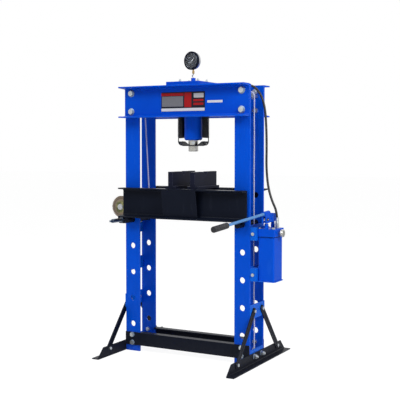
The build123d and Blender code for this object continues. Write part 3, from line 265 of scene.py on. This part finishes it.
# Washer zinc tinted blue: a painted reflection of the blue paint round the washers
washer_zinc_blue_reflection = plated("washer_zinc_blue_reflection", (0.26, 0.34, 0.46), (0.18, 0.25, 0.36), 0.38, metallic=0.6)
oiled_steel = plated("oiled_steel", (0.20, 0.25, 0.31), (0.12, 0.15, 0.20), 0.34, grain=(1.0, 0.1, 1.0))
ground_chrome = plated("ground_chrome", (0.56, 0.56, 0.53), (0.42, 0.41, 0.37), 0.18, grain=(1.0, 1.0, 0.15))
gauge_shell = plated("gauge_shell", (0.66, 0.67, 0.69), (0.52, 0.53, 0.55), 0.34)
spring_black = plated("spring_black", (0.055, 0.055, 0.060), (0.025, 0.025, 0.028), 0.38)
hose_black = moulded_rubber("hose_black", (0.008, 0.008, 0.009), 0.42)
grip_black = moulded_rubber("grip_black", (0.010, 0.010, 0.013), 0.55)

WINCH_AXIS = at(-0.515, 0, 0.897)
# Distances from the winch's axis over which the gear's colour changes: the hub's painted highlight, the brown
# bloom, and the painted shade at the dome's edge
HUB_HIGHLIGHT_EDGE, RIM_BLOOM = (0.0175, 0.020), (0.046, 0.062)
CREASE_SHADE_INSIDE, CREASE_SHADE_OUTSIDE = (0.050, 0.0515), (0.0525, 0.054)


def passivated_zinc():
    """Yellow passivated zinc on the winch gear: a hub painted pale as a highlight, olive and straw dome,
    brown bloom at the rim, and a dark ring painted as shade at the dome's edge.
    """
    zinc = Finish("yellow_zinc", Metallic=0.8)
    across, up = zinc.axis("X") - WINCH_AXIS.x, zinc.axis("Z") - WINCH_AXIS.z
    reach = (across * across + up * up) ** 0.5
    bloom = zinc.noise(26.0, 3.0)
    marks = zinc.noise(700.0, 3.0, (1.0, 0.1, 1.0))
    straw = zinc.mix(zinc.mask(bloom, 0.38, 0.60), (0.10, 0.11, 0.05), (0.30, 0.27, 0.12))
    dome = zinc.mix(zinc.mask(reach + 0.03 * bloom, *RIM_BLOOM), straw, (0.22, 0.17, 0.13))
    # A dark ring painted as shade in the crease where the dome meets the gear's face
    crease_shade = zinc.mask(reach, *CREASE_SHADE_INSIDE) * (1 - zinc.mask(reach, *CREASE_SHADE_OUTSIDE))
    dome = zinc.mix(crease_shade * 0.7, dome, (0.03, 0.03, 0.02))
    # The hub is painted pale as the highlight at the gear's centre
    zinc.set(Base_Color=zinc.mix(zinc.mask(reach, *HUB_HIGHLIGHT_EDGE), (0.56, 0.58, 0.60), dome),
             Roughness=0.24 + 0.14 * marks)
    zinc.bump(marks, distance=0.00003, strength=0.5)
    return zinc


# Heights between which the gauge's steel tube gives way to its brass fitting
BRASS_FOOT = (1.7270, 1.7276)


def gauge_pipework():
    """Turned brass in the hexagon fitting, and grey drawn steel in the bent tube below it."""
    metal = Finish("gauge_pipework", Metallic=1.0)
    is_brass = metal.mask(metal.axis("Z"), *BRASS_FOOT)
    marks = metal.noise(900.0, 3.0, (1.0, 1.0, 6.0))
    cloud = metal.noise(70.0, 4.0)
    steel = metal.mix(cloud, (0.20, 0.21, 0.23), (0.34, 0.35, 0.38))
    brass = metal.mix(cloud, (0.30, 0.20, 0.08), (0.46, 0.32, 0.14))
    metal.set(Base_Color=metal.mix(is_brass, steel, brass), Roughness=0.24 + 0.12 * marks)
    metal.bump(marks, distance=0.00003, strength=0.5)
    return metal


def rope_finish():
    """Clear-coated wire rope: pale strands laid in a slant under a glossy skin."""
    rope = Finish("coated_rope", Specular_IOR_Level=0.4, Coat_Weight=0.15)
    lay = rope.wave(rope.axis("Z") * 520.0 + rope.axis("X") * 700.0)
    rope.set(Base_Color=rope.mix(lay, (0.30, 0.32, 0.52), (0.56, 0.58, 0.78)), Roughness=0.34 + 0.1 * lay)
    rope.bump(lay, distance=0.0004, strength=0.6)
    return rope


coated_rope = rope_finish()
dial_dark = mottled("dial_dark", (0.010, 0.016, 0.028), (0.016, 0.024, 0.040), 60.0, 0.5)
dial_print = mottled("dial_print", (0.78, 0.80, 0.80), (0.88, 0.89, 0.88), 200.0, 0.55)
ring_print = mottled("ring_print", (0.16, 0.19, 0.21), (0.24, 0.27, 0.29), 200.0, 0.55)
gauge_glass = Finish("gauge_glass", Base_Color=(0.95, 0.97, 1.0), Transmission_Weight=1.0, IOR=1.3)
gauge_glass.set(Roughness=0.02 + 0.03 * gauge_glass.noise(150.0))

UPRIGHTS = ("upright_left_front", "upright_left_rear", "upright_right_front", "upright_right_rear")
BEAMS = ("top_beam_front", "top_beam_rear")
BED_CHANNELS = ("bed_channel_front", "bed_channel_rear")
BASE = ("bottom_rail_front", "bottom_rail_rear", "foot_left", "foot_right", "stays")
BLOCKS = ("v_block_left", "v_block_right")
BRACKETS = ("battens", "pump_brackets")
BOLTS = ("top_bolts", "base_bolts", "bracket_bolts", "hose_fittings")
LEVER_PARTS = ("fulcrum_post", "plunger_guide", "lever_fork")

frame_blue.on(*UPRIGHTS, *BEAMS, *LEVER_PARTS, "cylinder_plate", "cylinder_barrel", "pump_tank", "pump_head")
painted_lit_blue.on(*BRACKETS)
satin_black.on(*BASE, *BED_CHANNELS, "bed_spacers", "bed_pins", "winch_frame", "spring_strap", "gauge_bezel")
block_black.on(*BLOCKS)
handle_blue.on("pump_handle")
bright_zinc.on(*BOLTS, "winch_drum", "top_sheave", "bed_sheave_left", "bed_sheave_right", "rope_pins",
               "ram_screw")
passivated_zinc().on("winch_gear")
oiled_steel.on("winch_pinion", "cylinder_gland")
ground_chrome.on("ram_rod", "ram_nose", "pump_plunger", "release_valve")
gauge_pipework().on("gauge_connection")
gauge_shell.on("gauge_case")
grip_black.on("handle_grip")
coated_rope.on("rope_lift_line", "rope_bed_run", "rope_winding")
dial_dark.on("gauge_dial")
dial_print.on("gauge_needle")
gauge_glass.on("gauge_lens")


# Broken edges on the plates, channels and machined blocks
EDGE_WIDTHS = {0.0012: (*UPRIGHTS, *BEAMS, *BED_CHANNELS, *BLOCKS, *BRACKETS, "cylinder_plate", "pump_head"),
               0.0008: (*BASE, *BOLTS, *LEVER_PARTS, "spring_strap", "winch_frame", "pump_tank")}
WELD_REACH, BROKEN_ANGLE = 0.00001, math.radians(40)
for width, names in EDGE_WIDTHS.items():
    for name in names:
        weld = nodes[name].modifiers.new("weld", "WELD")
        weld.merge_threshold = WELD_REACH
        edge = nodes[name].modifiers.new("broken_edge", "BEVEL")
        edge.width = width
        edge.segments = 2
        edge.limit_method = "ANGLE"
        edge.angle_limit = BROKEN_ANGLE


# New pieces

def piece(name, mesh, finish, body):
    """A mesh made into a piece that rides on a body."""
    made = bpy.data.objects.new(name, mesh)
    scene.collection.objects.link(made)
    mesh.materials.append(finish.material)
    if body:
        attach(made, body)
    return made


def mesh_of(name, shape):
    """A mesh taken from a finished shape."""
    mesh = bpy.data.meshes.new(name)
    shape.to_mesh(mesh)
    shape.free()
    return mesh


def smooth(mesh, angle=40):
    """Shades a mesh smooth, apart from edges sharper than an angle in degrees."""
    for face in mesh.polygons:
        face.use_smooth = True
    mesh.set_sharp_from_angle(angle=math.radians(angle))
    return mesh


def turns(sides):
    """Angles of equal steps round a circle."""
    return [2 * math.pi * k / sides for k in range(sides)]


def ring(shape, place, radius, height, sides):
    """A round of points at a height over a place, which is a point and a direction."""
    point, direction = place
    turn = UP.rotation_difference(direction).to_matrix()
    return [shape.verts.new(point + turn @ Vector((radius * math.cos(a), radius * math.sin(a), height)))
            for a in turns(sides)]


def skin(shape, rings):
    """Faces between each round of points and the next."""
    for a, b in zip(rings, rings[1:]):
        for k in range(len(a)):
            after = (k + 1) % len(a)
            shape.faces.new((a[k], a[after], b[after], b[k]))


def tube(name, points, radius, sides):
    """A round wire along points, with its frame carried along without twist."""
    shape = bmesh.new()
    normal = (points[1] - points[0]).orthogonal().normalized()
    rings = []
    for i, point in enumerate(points):
        ahead = points[min(i + 1, len(points) - 1)] - points[max(i - 1, 0)]
        tangent = ahead.normalized()
        normal = (normal - tangent * normal.dot(tangent)).normalized()
        across = tangent.cross(normal)
        rings.append([shape.verts.new(point + radius * (math.cos(a) * normal + math.sin(a) * across))
                      for a in turns(sides)])
    skin(shape, rings)
    shape.faces.new(reversed(rings[0]))
    shape.faces.new(rings[-1])
    return smooth(mesh_of(name, shape))


def lathe(name, places, profile, sides=32):
    """Turned pieces with one closed (radius, height) profile, each at a point and along a direction."""
    shape = bmesh.new()
    for place in places:
        rings = [ring(shape, place, radius, height, sides) for radius, height in profile]
        skin(shape, rings + rings[:1])
    return smooth(mesh_of(name, shape))


def raise_faces(shape, by):
    """Extrudes every face of a shape by a vector."""
    raised = bmesh.ops.extrude_face_region(shape, geom=list(shape.faces))
    bmesh.ops.translate(shape, verts=[v for v in raised["geom"] if isinstance(v, bmesh.types.BMVert)], vec=by)


# Camera at the photograph's viewpoint
CAMERA_PLACE = at(2.5721, -4.6585, 1.2894)
CAMERA_YAW, CAMERA_PITCH = math.radians(28.467), math.radians(-2.280)
camera = bpy.data.objects.new("camera", bpy.data.cameras.new("camera"))
scene.collection.objects.link(camera)
camera.location = CAMERA_PLACE
camera.rotation_euler = (math.pi / 2 + CAMERA_PITCH, 0, CAMERA_YAW)
camera.data.lens = 78.03
camera.data.sensor_width = 36
camera.data.shift_y = -0.05
scene.camera = camera


# Hose and rope tail
HOSE_ROUTE = [
    (0.0831, 0.0388, 1.5900), (0.1465, 0.0683, 1.5900), (0.2299, 0.0710, 1.6119), (0.3122, 0.0520, 1.6399),
    (0.3780, 0.0280, 1.6497), (0.4279, 0.0190, 1.6149), (0.4590, 0.0190, 1.5560), (0.4740, 0.0200, 1.4842),
    (0.4801, 0.0200, 1.3829), (0.4825, 0.0190, 1.2778), (0.4811, 0.0180, 1.1802), (0.4872, 0.0150, 1.1046),
    (0.4989, 0.0110, 1.0351), (0.5210, 0.0080, 0.9678), (0.5535, 0.0140, 0.8980), (0.5535, 0.0140, 0.8340)]
TAIL_ROUTE = [
    (0.4103, 0.0000, 1.5820), (0.4109, -0.0006, 1.5180), (0.4099, -0.0014, 1.4398),
    (0.4113, -0.0008, 1.3443), (0.4103, 0.0006, 1.2457), (0.4093, -0.0008, 1.1393),
    (0.4107, -0.0018, 1.0360), (0.4095, -0.0010, 0.9327), (0.4109, 0.0000, 0.8279),
    (0.4099, -0.0015, 0.7246), (0.4111, -0.0006, 0.6197), (0.4123, 0.0006, 0.5165),
    (0.4111, -0.0008, 0.4116), (0.4133, -0.0016, 0.3083), (0.4147, -0.0004, 0.2066),
    (0.4139, -0.0016, 0.1221), (0.4135, -0.0010, 0.0689)]
HOSE_DIAMETER, ROPE_DIAMETER = 0.014, 0.008


def cord_curve(name, route, diameter, finish):
    """A smooth round cord with the route's points as its control points."""
    curve = bpy.data.curves.new(name, "CURVE")
    curve.dimensions = "3D"
    curve.resolution_u = 12
    curve.bevel_depth = diameter / 2
    curve.bevel_resolution = 4
    curve.use_fill_caps = True
    spline = curve.splines.new("NURBS")
    spline.points.add(len(route) - 1)
    for point, place in zip(spline.points, route):
        point.co = (*at(*place), 1.0)
    spline.order_u = 3
    spline.use_endpoint_u = True
    curve.materials.append(finish.material)
    made = bpy.data.objects.new(name, curve)
    scene.collection.objects.link(made)
    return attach(made, "frame")


hose = cord_curve("pressure_hose", HOSE_ROUTE, HOSE_DIAMETER, hose_black)
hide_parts("hydraulic_hose")
tail = cord_curve("rope_loose_tail", TAIL_ROUTE, ROPE_DIAMETER, coated_rope)
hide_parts("rope_tail")

# Crimped ferrules on the hose, a sleeve on the rope's end, and the rope's loop over its pin
FERRULE = [(0.0071, -0.004), (0.0095, -0.004), (0.0105, 0.000), (0.0105, 0.008), (0.0098, 0.010),
           (0.0098, 0.012), (0.0105, 0.014), (0.0105, 0.022), (0.0098, 0.024), (0.0098, 0.026),
           (0.0105, 0.028), (0.0095, 0.034), (0.0071, 0.034)]
first, second = at(*HOSE_ROUTE[0]), at(*HOSE_ROUTE[1])
last, before = at(*HOSE_ROUTE[-1]), at(*HOSE_ROUTE[-2])
hose_ends = [(first, (second - first).normalized()), (last, (before - last).normalized())]
ferrules = piece("hose_ferrules", lathe("hose_ferrules", hose_ends, FERRULE), bright_zinc, "frame")
SLEEVE = [(0.0, -0.002), (0.0046, -0.002), (0.0054, 0.0), (0.0054, 0.018), (0.0046, 0.020), (0.0041, 0.020),
          (0.0, 0.010)]
sleeve = piece("rope_end_sleeve", lathe("rope_end_sleeve", [(at(*TAIL_ROUTE[-1]), UP)], SLEEVE),
               bright_zinc, "frame")
LOOP_RADIUS, LOOP_FOOT, LOOP_STEPS = 0.0243, 1.565, 24
loop_centre = at(TAIL_ROUTE[0][0] - LOOP_RADIUS, 0, TAIL_ROUTE[0][2])
loop_angles = [math.pi * i / LOOP_STEPS for i in range(LOOP_STEPS + 1)]
loop_points = [loop_centre + LOOP_RADIUS * Vector((math.cos(a), 0, math.sin(a))) for a in loop_angles]
loop_points.append(at(TAIL_ROUTE[0][0] - 2 * LOOP_RADIUS, 0, LOOP_FOOT))
piece("rope_loop", tube("rope_loop", loop_points, ROPE_DIAMETER / 2, 16), coated_rope, "frame")

# Rope strands, which shorten as the bed rises in the press: here a copy of the CAD strands with the rope's
# finish, on no body
strand_mesh = nodes["rope_strands"].data.copy()
strand_mesh.materials.clear()
strands = piece("rope_lifting_strands", strand_mesh, coated_rope, None)
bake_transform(strands)
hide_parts("rope_strands")


# Return springs: close-wound wire with a hook below and a straight end above
SPRING_OFFSET, SPRING_RADIUS, SPRING_WIRE = 0.085, 0.020, 0.0058
COIL_LOW, COIL_HIGH, COIL_TURNS, STEPS_PER_TURN = 1.336, 1.557, 34, 18
HOOK_BEND = [(0.0740, 1.3160), (0.0740, 1.3020), (0.0755, 1.2965), (0.0790, 1.2930), (0.0840, 1.2915),
             (0.0895, 1.2922), (0.0950, 1.2950), (0.1000, 1.2995), (0.1033, 1.3055), (0.1048, 1.3120),
             (0.1050, 1.3200), (0.1050, 1.3290)]
UPPER_END = [(0.010, 0.004, COIL_HIGH + 0.003), (0, 0, COIL_HIGH + 0.008), (0, 0, 1.667)]


def return_spring(name, side):
    """One spring: a hook under the strap's end and up through its hole, the coil, the wire to the plate."""
    centre = at(side * SPRING_OFFSET, 0, 0)
    points = [at(side * x, 0, z) for x, z in HOOK_BEND]
    steps = COIL_TURNS * STEPS_PER_TURN
    for i in range(steps + 1):
        turn = 2 * math.pi * i / STEPS_PER_TURN
        height = COIL_LOW + (COIL_HIGH - COIL_LOW) * i / steps
        points.append(centre + Vector((side * SPRING_RADIUS * math.cos(turn), SPRING_RADIUS * math.sin(turn),
                                       height)))
    points += [centre + Vector((side * x, y, z)) for x, y, z in UPPER_END]
    made = piece(name, tube(name, points, SPRING_WIRE / 2, 8), spring_black, None)
    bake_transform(made)
    return made


spring_left = return_spring("return_spring_left", -1)
return_spring("return_spring_right", 1)
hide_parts("return_springs")


# Washers under the bolt heads
WASHER_EDGE, WASHER_ROUND = 0.0008, 0.0006
BOLT_COLUMN = 0.380
BEAM_FACE, RAIL_FACE, FOOT_FACE, PLATE_TOP = 0.109, 0.106, 0.436, 1.673


def washers(name, outer, inner, thickness, places):
    """Flat rings with broken outer edges, at points and along directions."""
    profile = [(inner, 0.0), (outer - WASHER_EDGE, 0.0), (outer, WASHER_ROUND),
               (outer, thickness - WASHER_ROUND), (outer - WASHER_EDGE, thickness), (inner, thickness)]
    return piece(name, lathe(name, places, profile), washer_zinc_blue_reflection, "frame")


def column_bolts(face, heights):
    """Places of the bolts at both columns, on the front and the back face."""
    return [(at(x, y * face, z), Vector((0, y, 0))) for x in (-BOLT_COLUMN, BOLT_COLUMN) for y in (-1, 1)
            for z in heights]


foot_bolts = [(at(x * FOOT_FACE, y, 0.046), Vector((x, 0, 0))) for x in (-1, 1) for y in (-0.05, 0.05)]
plate_bolts = [(at(x, y, PLATE_TOP), UP) for x in (-0.062, 0.062) for y in (-0.056, 0.056)]
washers("beam_bolt_washers", 0.0220, 0.010, 0.003, column_bolts(BEAM_FACE, (1.4985, 1.6115)))
washers("rail_bolt_washers", 0.0155, 0.008, 0.0025, column_bolts(RAIL_FACE, (0.0535, 0.1025)))
washers("foot_bolt_washers", 0.0155, 0.008, 0.0025, foot_bolts)
washers("plate_bolt_washers", 0.0100, 0.005, 0.002, plate_bolts)


# Stud ends and hexagon nuts that stand on the plate's and the feet's bolts
NUT_FOOT_EDGE, NUT_TOP_EDGE, STUD_OVERLAP = 0.0008, 0.0012, 0.001


def stud_nuts(name, across_flats, nut_height, stud_radius, stud_height, places):
    """Chamfered hexagon nuts with a stud's end through each, at points and along directions."""
    shape = bmesh.new()
    corner = across_flats / math.sqrt(3)
    nut_profile = [(corner - NUT_FOOT_EDGE, 0.0), (corner, NUT_FOOT_EDGE),
                   (corner, nut_height - NUT_TOP_EDGE), (corner - NUT_TOP_EDGE, nut_height),
                   (stud_radius, nut_height)]
    stud_profile = [(stud_radius, nut_height - STUD_OVERLAP), (stud_radius, stud_height - NUT_TOP_EDGE),
                    (stud_radius - NUT_TOP_EDGE, stud_height)]
    for place in places:
        nut = [ring(shape, place, radius, height, 6) for radius, height in nut_profile]
        stud = [ring(shape, place, radius, height, 16) for radius, height in stud_profile]
        skin(shape, nut)
        skin(shape, stud)
        shape.faces.new(stud[-1])
        shape.faces.new(reversed(nut[0]))
    return piece(name, smooth(mesh_of(name, shape), 25), bright_zinc, "frame")


stud_nuts("plate_stud_nuts", 0.016, 0.008, 0.0048, 0.015, [(p + 0.0062 * d, d) for p, d in plate_bolts])
stud_nuts("foot_stud_nuts", 0.022, 0.010, 0.0075, 0.018, [(p + 0.0090 * d, d) for p, d in foot_bolts])


# Welded lip round the tank's bottom, and a dark line under the pump head: the seam with painted shade under
# the head's overhang
TANK_ROUND = 0.010


def tank_band(name, low, high, overhang, finish):
    """A thin rounded band round the tank between two heights."""
    near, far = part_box("pump_tank")
    left, right = near.x - overhang, far.x + overhang
    front, back = near.y - overhang, far.y + overhang
    shape = bmesh.new()
    corners = [shape.verts.new((x, y, low))
               for x, y in ((left, front), (right, front), (right, back), (left, back))]
    shape.faces.new(corners)
    bmesh.ops.bevel(shape, geom=corners, offset=TANK_ROUND, segments=5, affect="VERTICES")
    raise_faces(shape, (0, 0, high - low))
    bmesh.ops.recalc_face_normals(shape, faces=shape.faces)
    return piece(name, mesh_of(name, shape), finish, "frame")


tank_band("tank_bottom_lip", 0.4952, 0.4985, 0.0045, painted_lit_blue)
tank_band("tank_seam_and_shade_line", 0.7560, 0.7598, 0.0012, seam_and_shade_dark)


# Label fields on the front beam: plain printed colours with no words
LABEL_ROUND, LABEL_THICKNESS = 0.0015, 0.0002
GROUND_LIFT, PRINT_LIFT = 0.0002, 0.0005


def label_field(name, x0, x1, z0, z1, finish, lift=PRINT_LIFT):
    """A thin printed rectangle on the front beam's web."""
    shape = bmesh.new()
    y = -BEAM_FACE - lift
    corners = [shape.verts.new(at(x, y, z)) for x, z in ((x0, z0), (x1, z0), (x1, z1), (x0, z1))]
    shape.faces.new(corners)
    bmesh.ops.bevel(shape, geom=corners, offset=LABEL_ROUND, segments=3, affect="VERTICES")
    shape.normal_update()
    if next(iter(shape.faces)).normal.y > 0:
        bmesh.ops.reverse_faces(shape, faces=shape.faces)
    raise_faces(shape, (0, -LABEL_THICKNESS, 0))
    return piece(name, mesh_of(name, shape), finish, "frame")


def film(name, colour, shade):
    """Printed plastic film, a little mottled."""
    made = Finish(name, Specular_IOR_Level=0.12)
    mottle = made.noise(160.0, 4.0)
    made.set(Base_Color=made.mix(mottle, shade, colour), Roughness=0.35 + 0.1 * mottle)
    return made


film_red = film("film_red", (0.40, 0.012, 0.015), (0.32, 0.008, 0.010))
film_dark = film("film_dark", (0.014, 0.016, 0.026), (0.008, 0.009, 0.016))
film_grey = film("film_grey", (0.20, 0.20, 0.21), (0.14, 0.14, 0.15))
film_pale = film("film_pale", (0.50, 0.49, 0.48), (0.42, 0.41, 0.41))
film_white = film("film_white", (0.72, 0.72, 0.72), (0.62, 0.62, 0.63))
label_field("label_ground", -0.163, 0.139, 1.495, 1.612, film_dark, GROUND_LIFT)
label_field("label_red_header", -0.163, -0.0065, 1.589, 1.6055, film_red)
label_field("label_grey_panel", -0.158, -0.010, 1.524, 1.586, film_grey)
label_field("label_red_column", -0.0014, 0.0466, 1.519, 1.607, film_red)
label_field("label_pale_field", 0.0626, 0.130, 1.575, 1.602, film_pale)
label_field("label_red_bar_upper", 0.060, 0.128, 1.5535, 1.566, film_red)
label_field("label_red_bar_lower", 0.060, 0.128, 1.531, 1.545, film_red)
label_field("label_white_strip", -0.1625, 0.137, 1.4965, 1.514, film_white)
label_field("label_side_bar", 0.154, 0.256, 1.543, 1.557, film_white, GROUND_LIFT)


# Printed ring of ticks on the gauge dial
GAUGE_CENTRE = at(0, 0, 1.806)
GAUGE_TURN = math.radians(-11)
TICK_PLANE = Vector((0, -0.0091, 0))
SCALE_START, SCALE_SWEEP = 225, 270
# Each scale's number of steps, inner and outer radius and half a tick's width
TICK_SCALES = ((100, 0.0400, 0.0425, 0.00025), (50, 0.0385, 0.0425, 0.0004), (10, 0.0345, 0.0425, 0.0009),
               (60, 0.0300, 0.0330, 0.0003), (12, 0.0280, 0.0330, 0.0007))


def dial_ticks():
    """The gauge's scales: a flat quad for each tick, just in front of the dial."""
    shape = bmesh.new()
    turn = Matrix.Rotation(GAUGE_TURN, 3, "Z")
    for count, inner, outer, half in TICK_SCALES:
        for i in range(count + 1):
            angle = math.radians(SCALE_START - SCALE_SWEEP * i / count)
            radial = Vector((math.cos(angle), 0, math.sin(angle)))
            across = Vector((-math.sin(angle), 0, math.cos(angle))) * half
            quad = [radial * inner - across, radial * outer - across,
                    radial * outer + across, radial * inner + across]
            shape.faces.new([shape.verts.new(GAUGE_CENTRE + turn @ (corner + TICK_PLANE)) for corner in quad])
    return piece("dial_ticks", mesh_of("dial_ticks", shape), ring_print, "frame")


dial_ticks()


# Studio: pale floor, white surround and soft lamps
WHITE = (1.0, 1.0, 1.0)
AMBIENT_STRENGTH = 0.40
FLOOR_SIZE, FLOOR_DROP, FLOOR_GLOW, FLOOR_GLOW_SHARE = 30.0, 0.0005, 1.17, 0.76
scene.view_settings.view_transform = "Standard"
world = bpy.data.worlds.new("studio")
scene.world = world
world.use_nodes = True
sky = Tree(world.node_tree)
rays = sky.node("ShaderNodeLightPath")
seen = sky.node("ShaderNodeMath", {"operation": "MAXIMUM"},
                {0: rays["Is Camera Ray"], 1: rays["Is Transmission Ray"]})["Value"]
seen_or_mirrored = sky.node("ShaderNodeMath", {"operation": "MAXIMUM"},
                            {0: seen, 1: rays["Is Glossy Ray"]})["Value"]
ambient = Outputs(sky, sky.tree.nodes["Background"])
sky.feed(ambient.node.inputs["Color"], WHITE)
sky.feed(ambient.node.inputs["Strength"], AMBIENT_STRENGTH)
surround = sky.node("ShaderNodeBackground", {}, {"Color": WHITE, "Strength": 1.0})
chosen = sky.node("ShaderNodeMixShader", {}, {0: seen_or_mirrored, 1: ambient["Background"],
                                              2: surround["Background"]})
sky.feed(sky.tree.nodes["World Output"].inputs["Surface"], chosen["Shader"])

floor_shape = bmesh.new()
bmesh.ops.create_grid(floor_shape, x_segments=1, y_segments=1, size=FLOOR_SIZE)
floor_mesh = mesh_of("floor", floor_shape)
floor = bpy.data.objects.new("floor", floor_mesh)
scene.collection.objects.link(floor)
floor.location.z = -FLOOR_DROP
pale_floor = Finish("pale_floor", Base_Color=(0.93, 0.93, 0.93), Roughness=0.9)
to_camera = pale_floor.node("ShaderNodeLightPath")["Is Camera Ray"]
glow = pale_floor.node("ShaderNodeEmission", {}, {"Color": WHITE, "Strength": FLOOR_GLOW})
floor_look = pale_floor.node("ShaderNodeMixShader", {}, {0: to_camera * FLOOR_GLOW_SHARE,
                                                         1: Outputs(pale_floor, pale_floor.shader)["BSDF"],
                                                         2: glow["Emission"]})
pale_floor.feed(pale_floor.tree.nodes["Material Output"].inputs["Surface"], floor_look["Shader"])
floor_mesh.materials.append(pale_floor.material)


def soft_lamp(name, place, target, size, power):
    """A round area lamp that points at a target."""
    lamp = bpy.data.lights.new(name, "AREA")
    lamp.shape = "DISK"
    lamp.size = size
    lamp.energy = power
    made = bpy.data.objects.new(name, lamp)
    scene.collection.objects.link(made)
    made.location = place
    made.rotation_euler = (Vector(target) - Vector(place)).to_track_quat("-Z", "Y").to_euler()


soft_lamp("key_lamp", (4.3, -1.7, 3.7), (0, 0.1, 0.9), size=2.2, power=175)
soft_lamp("front_lamp", (-0.8, -4.3, 4.3), (0, 0.1, 0.9), size=2.2, power=105)
soft_lamp("back_lamp", (-2.5, 3.2, 3.6), (0, 0.2, 1.2), size=2.0, power=60)
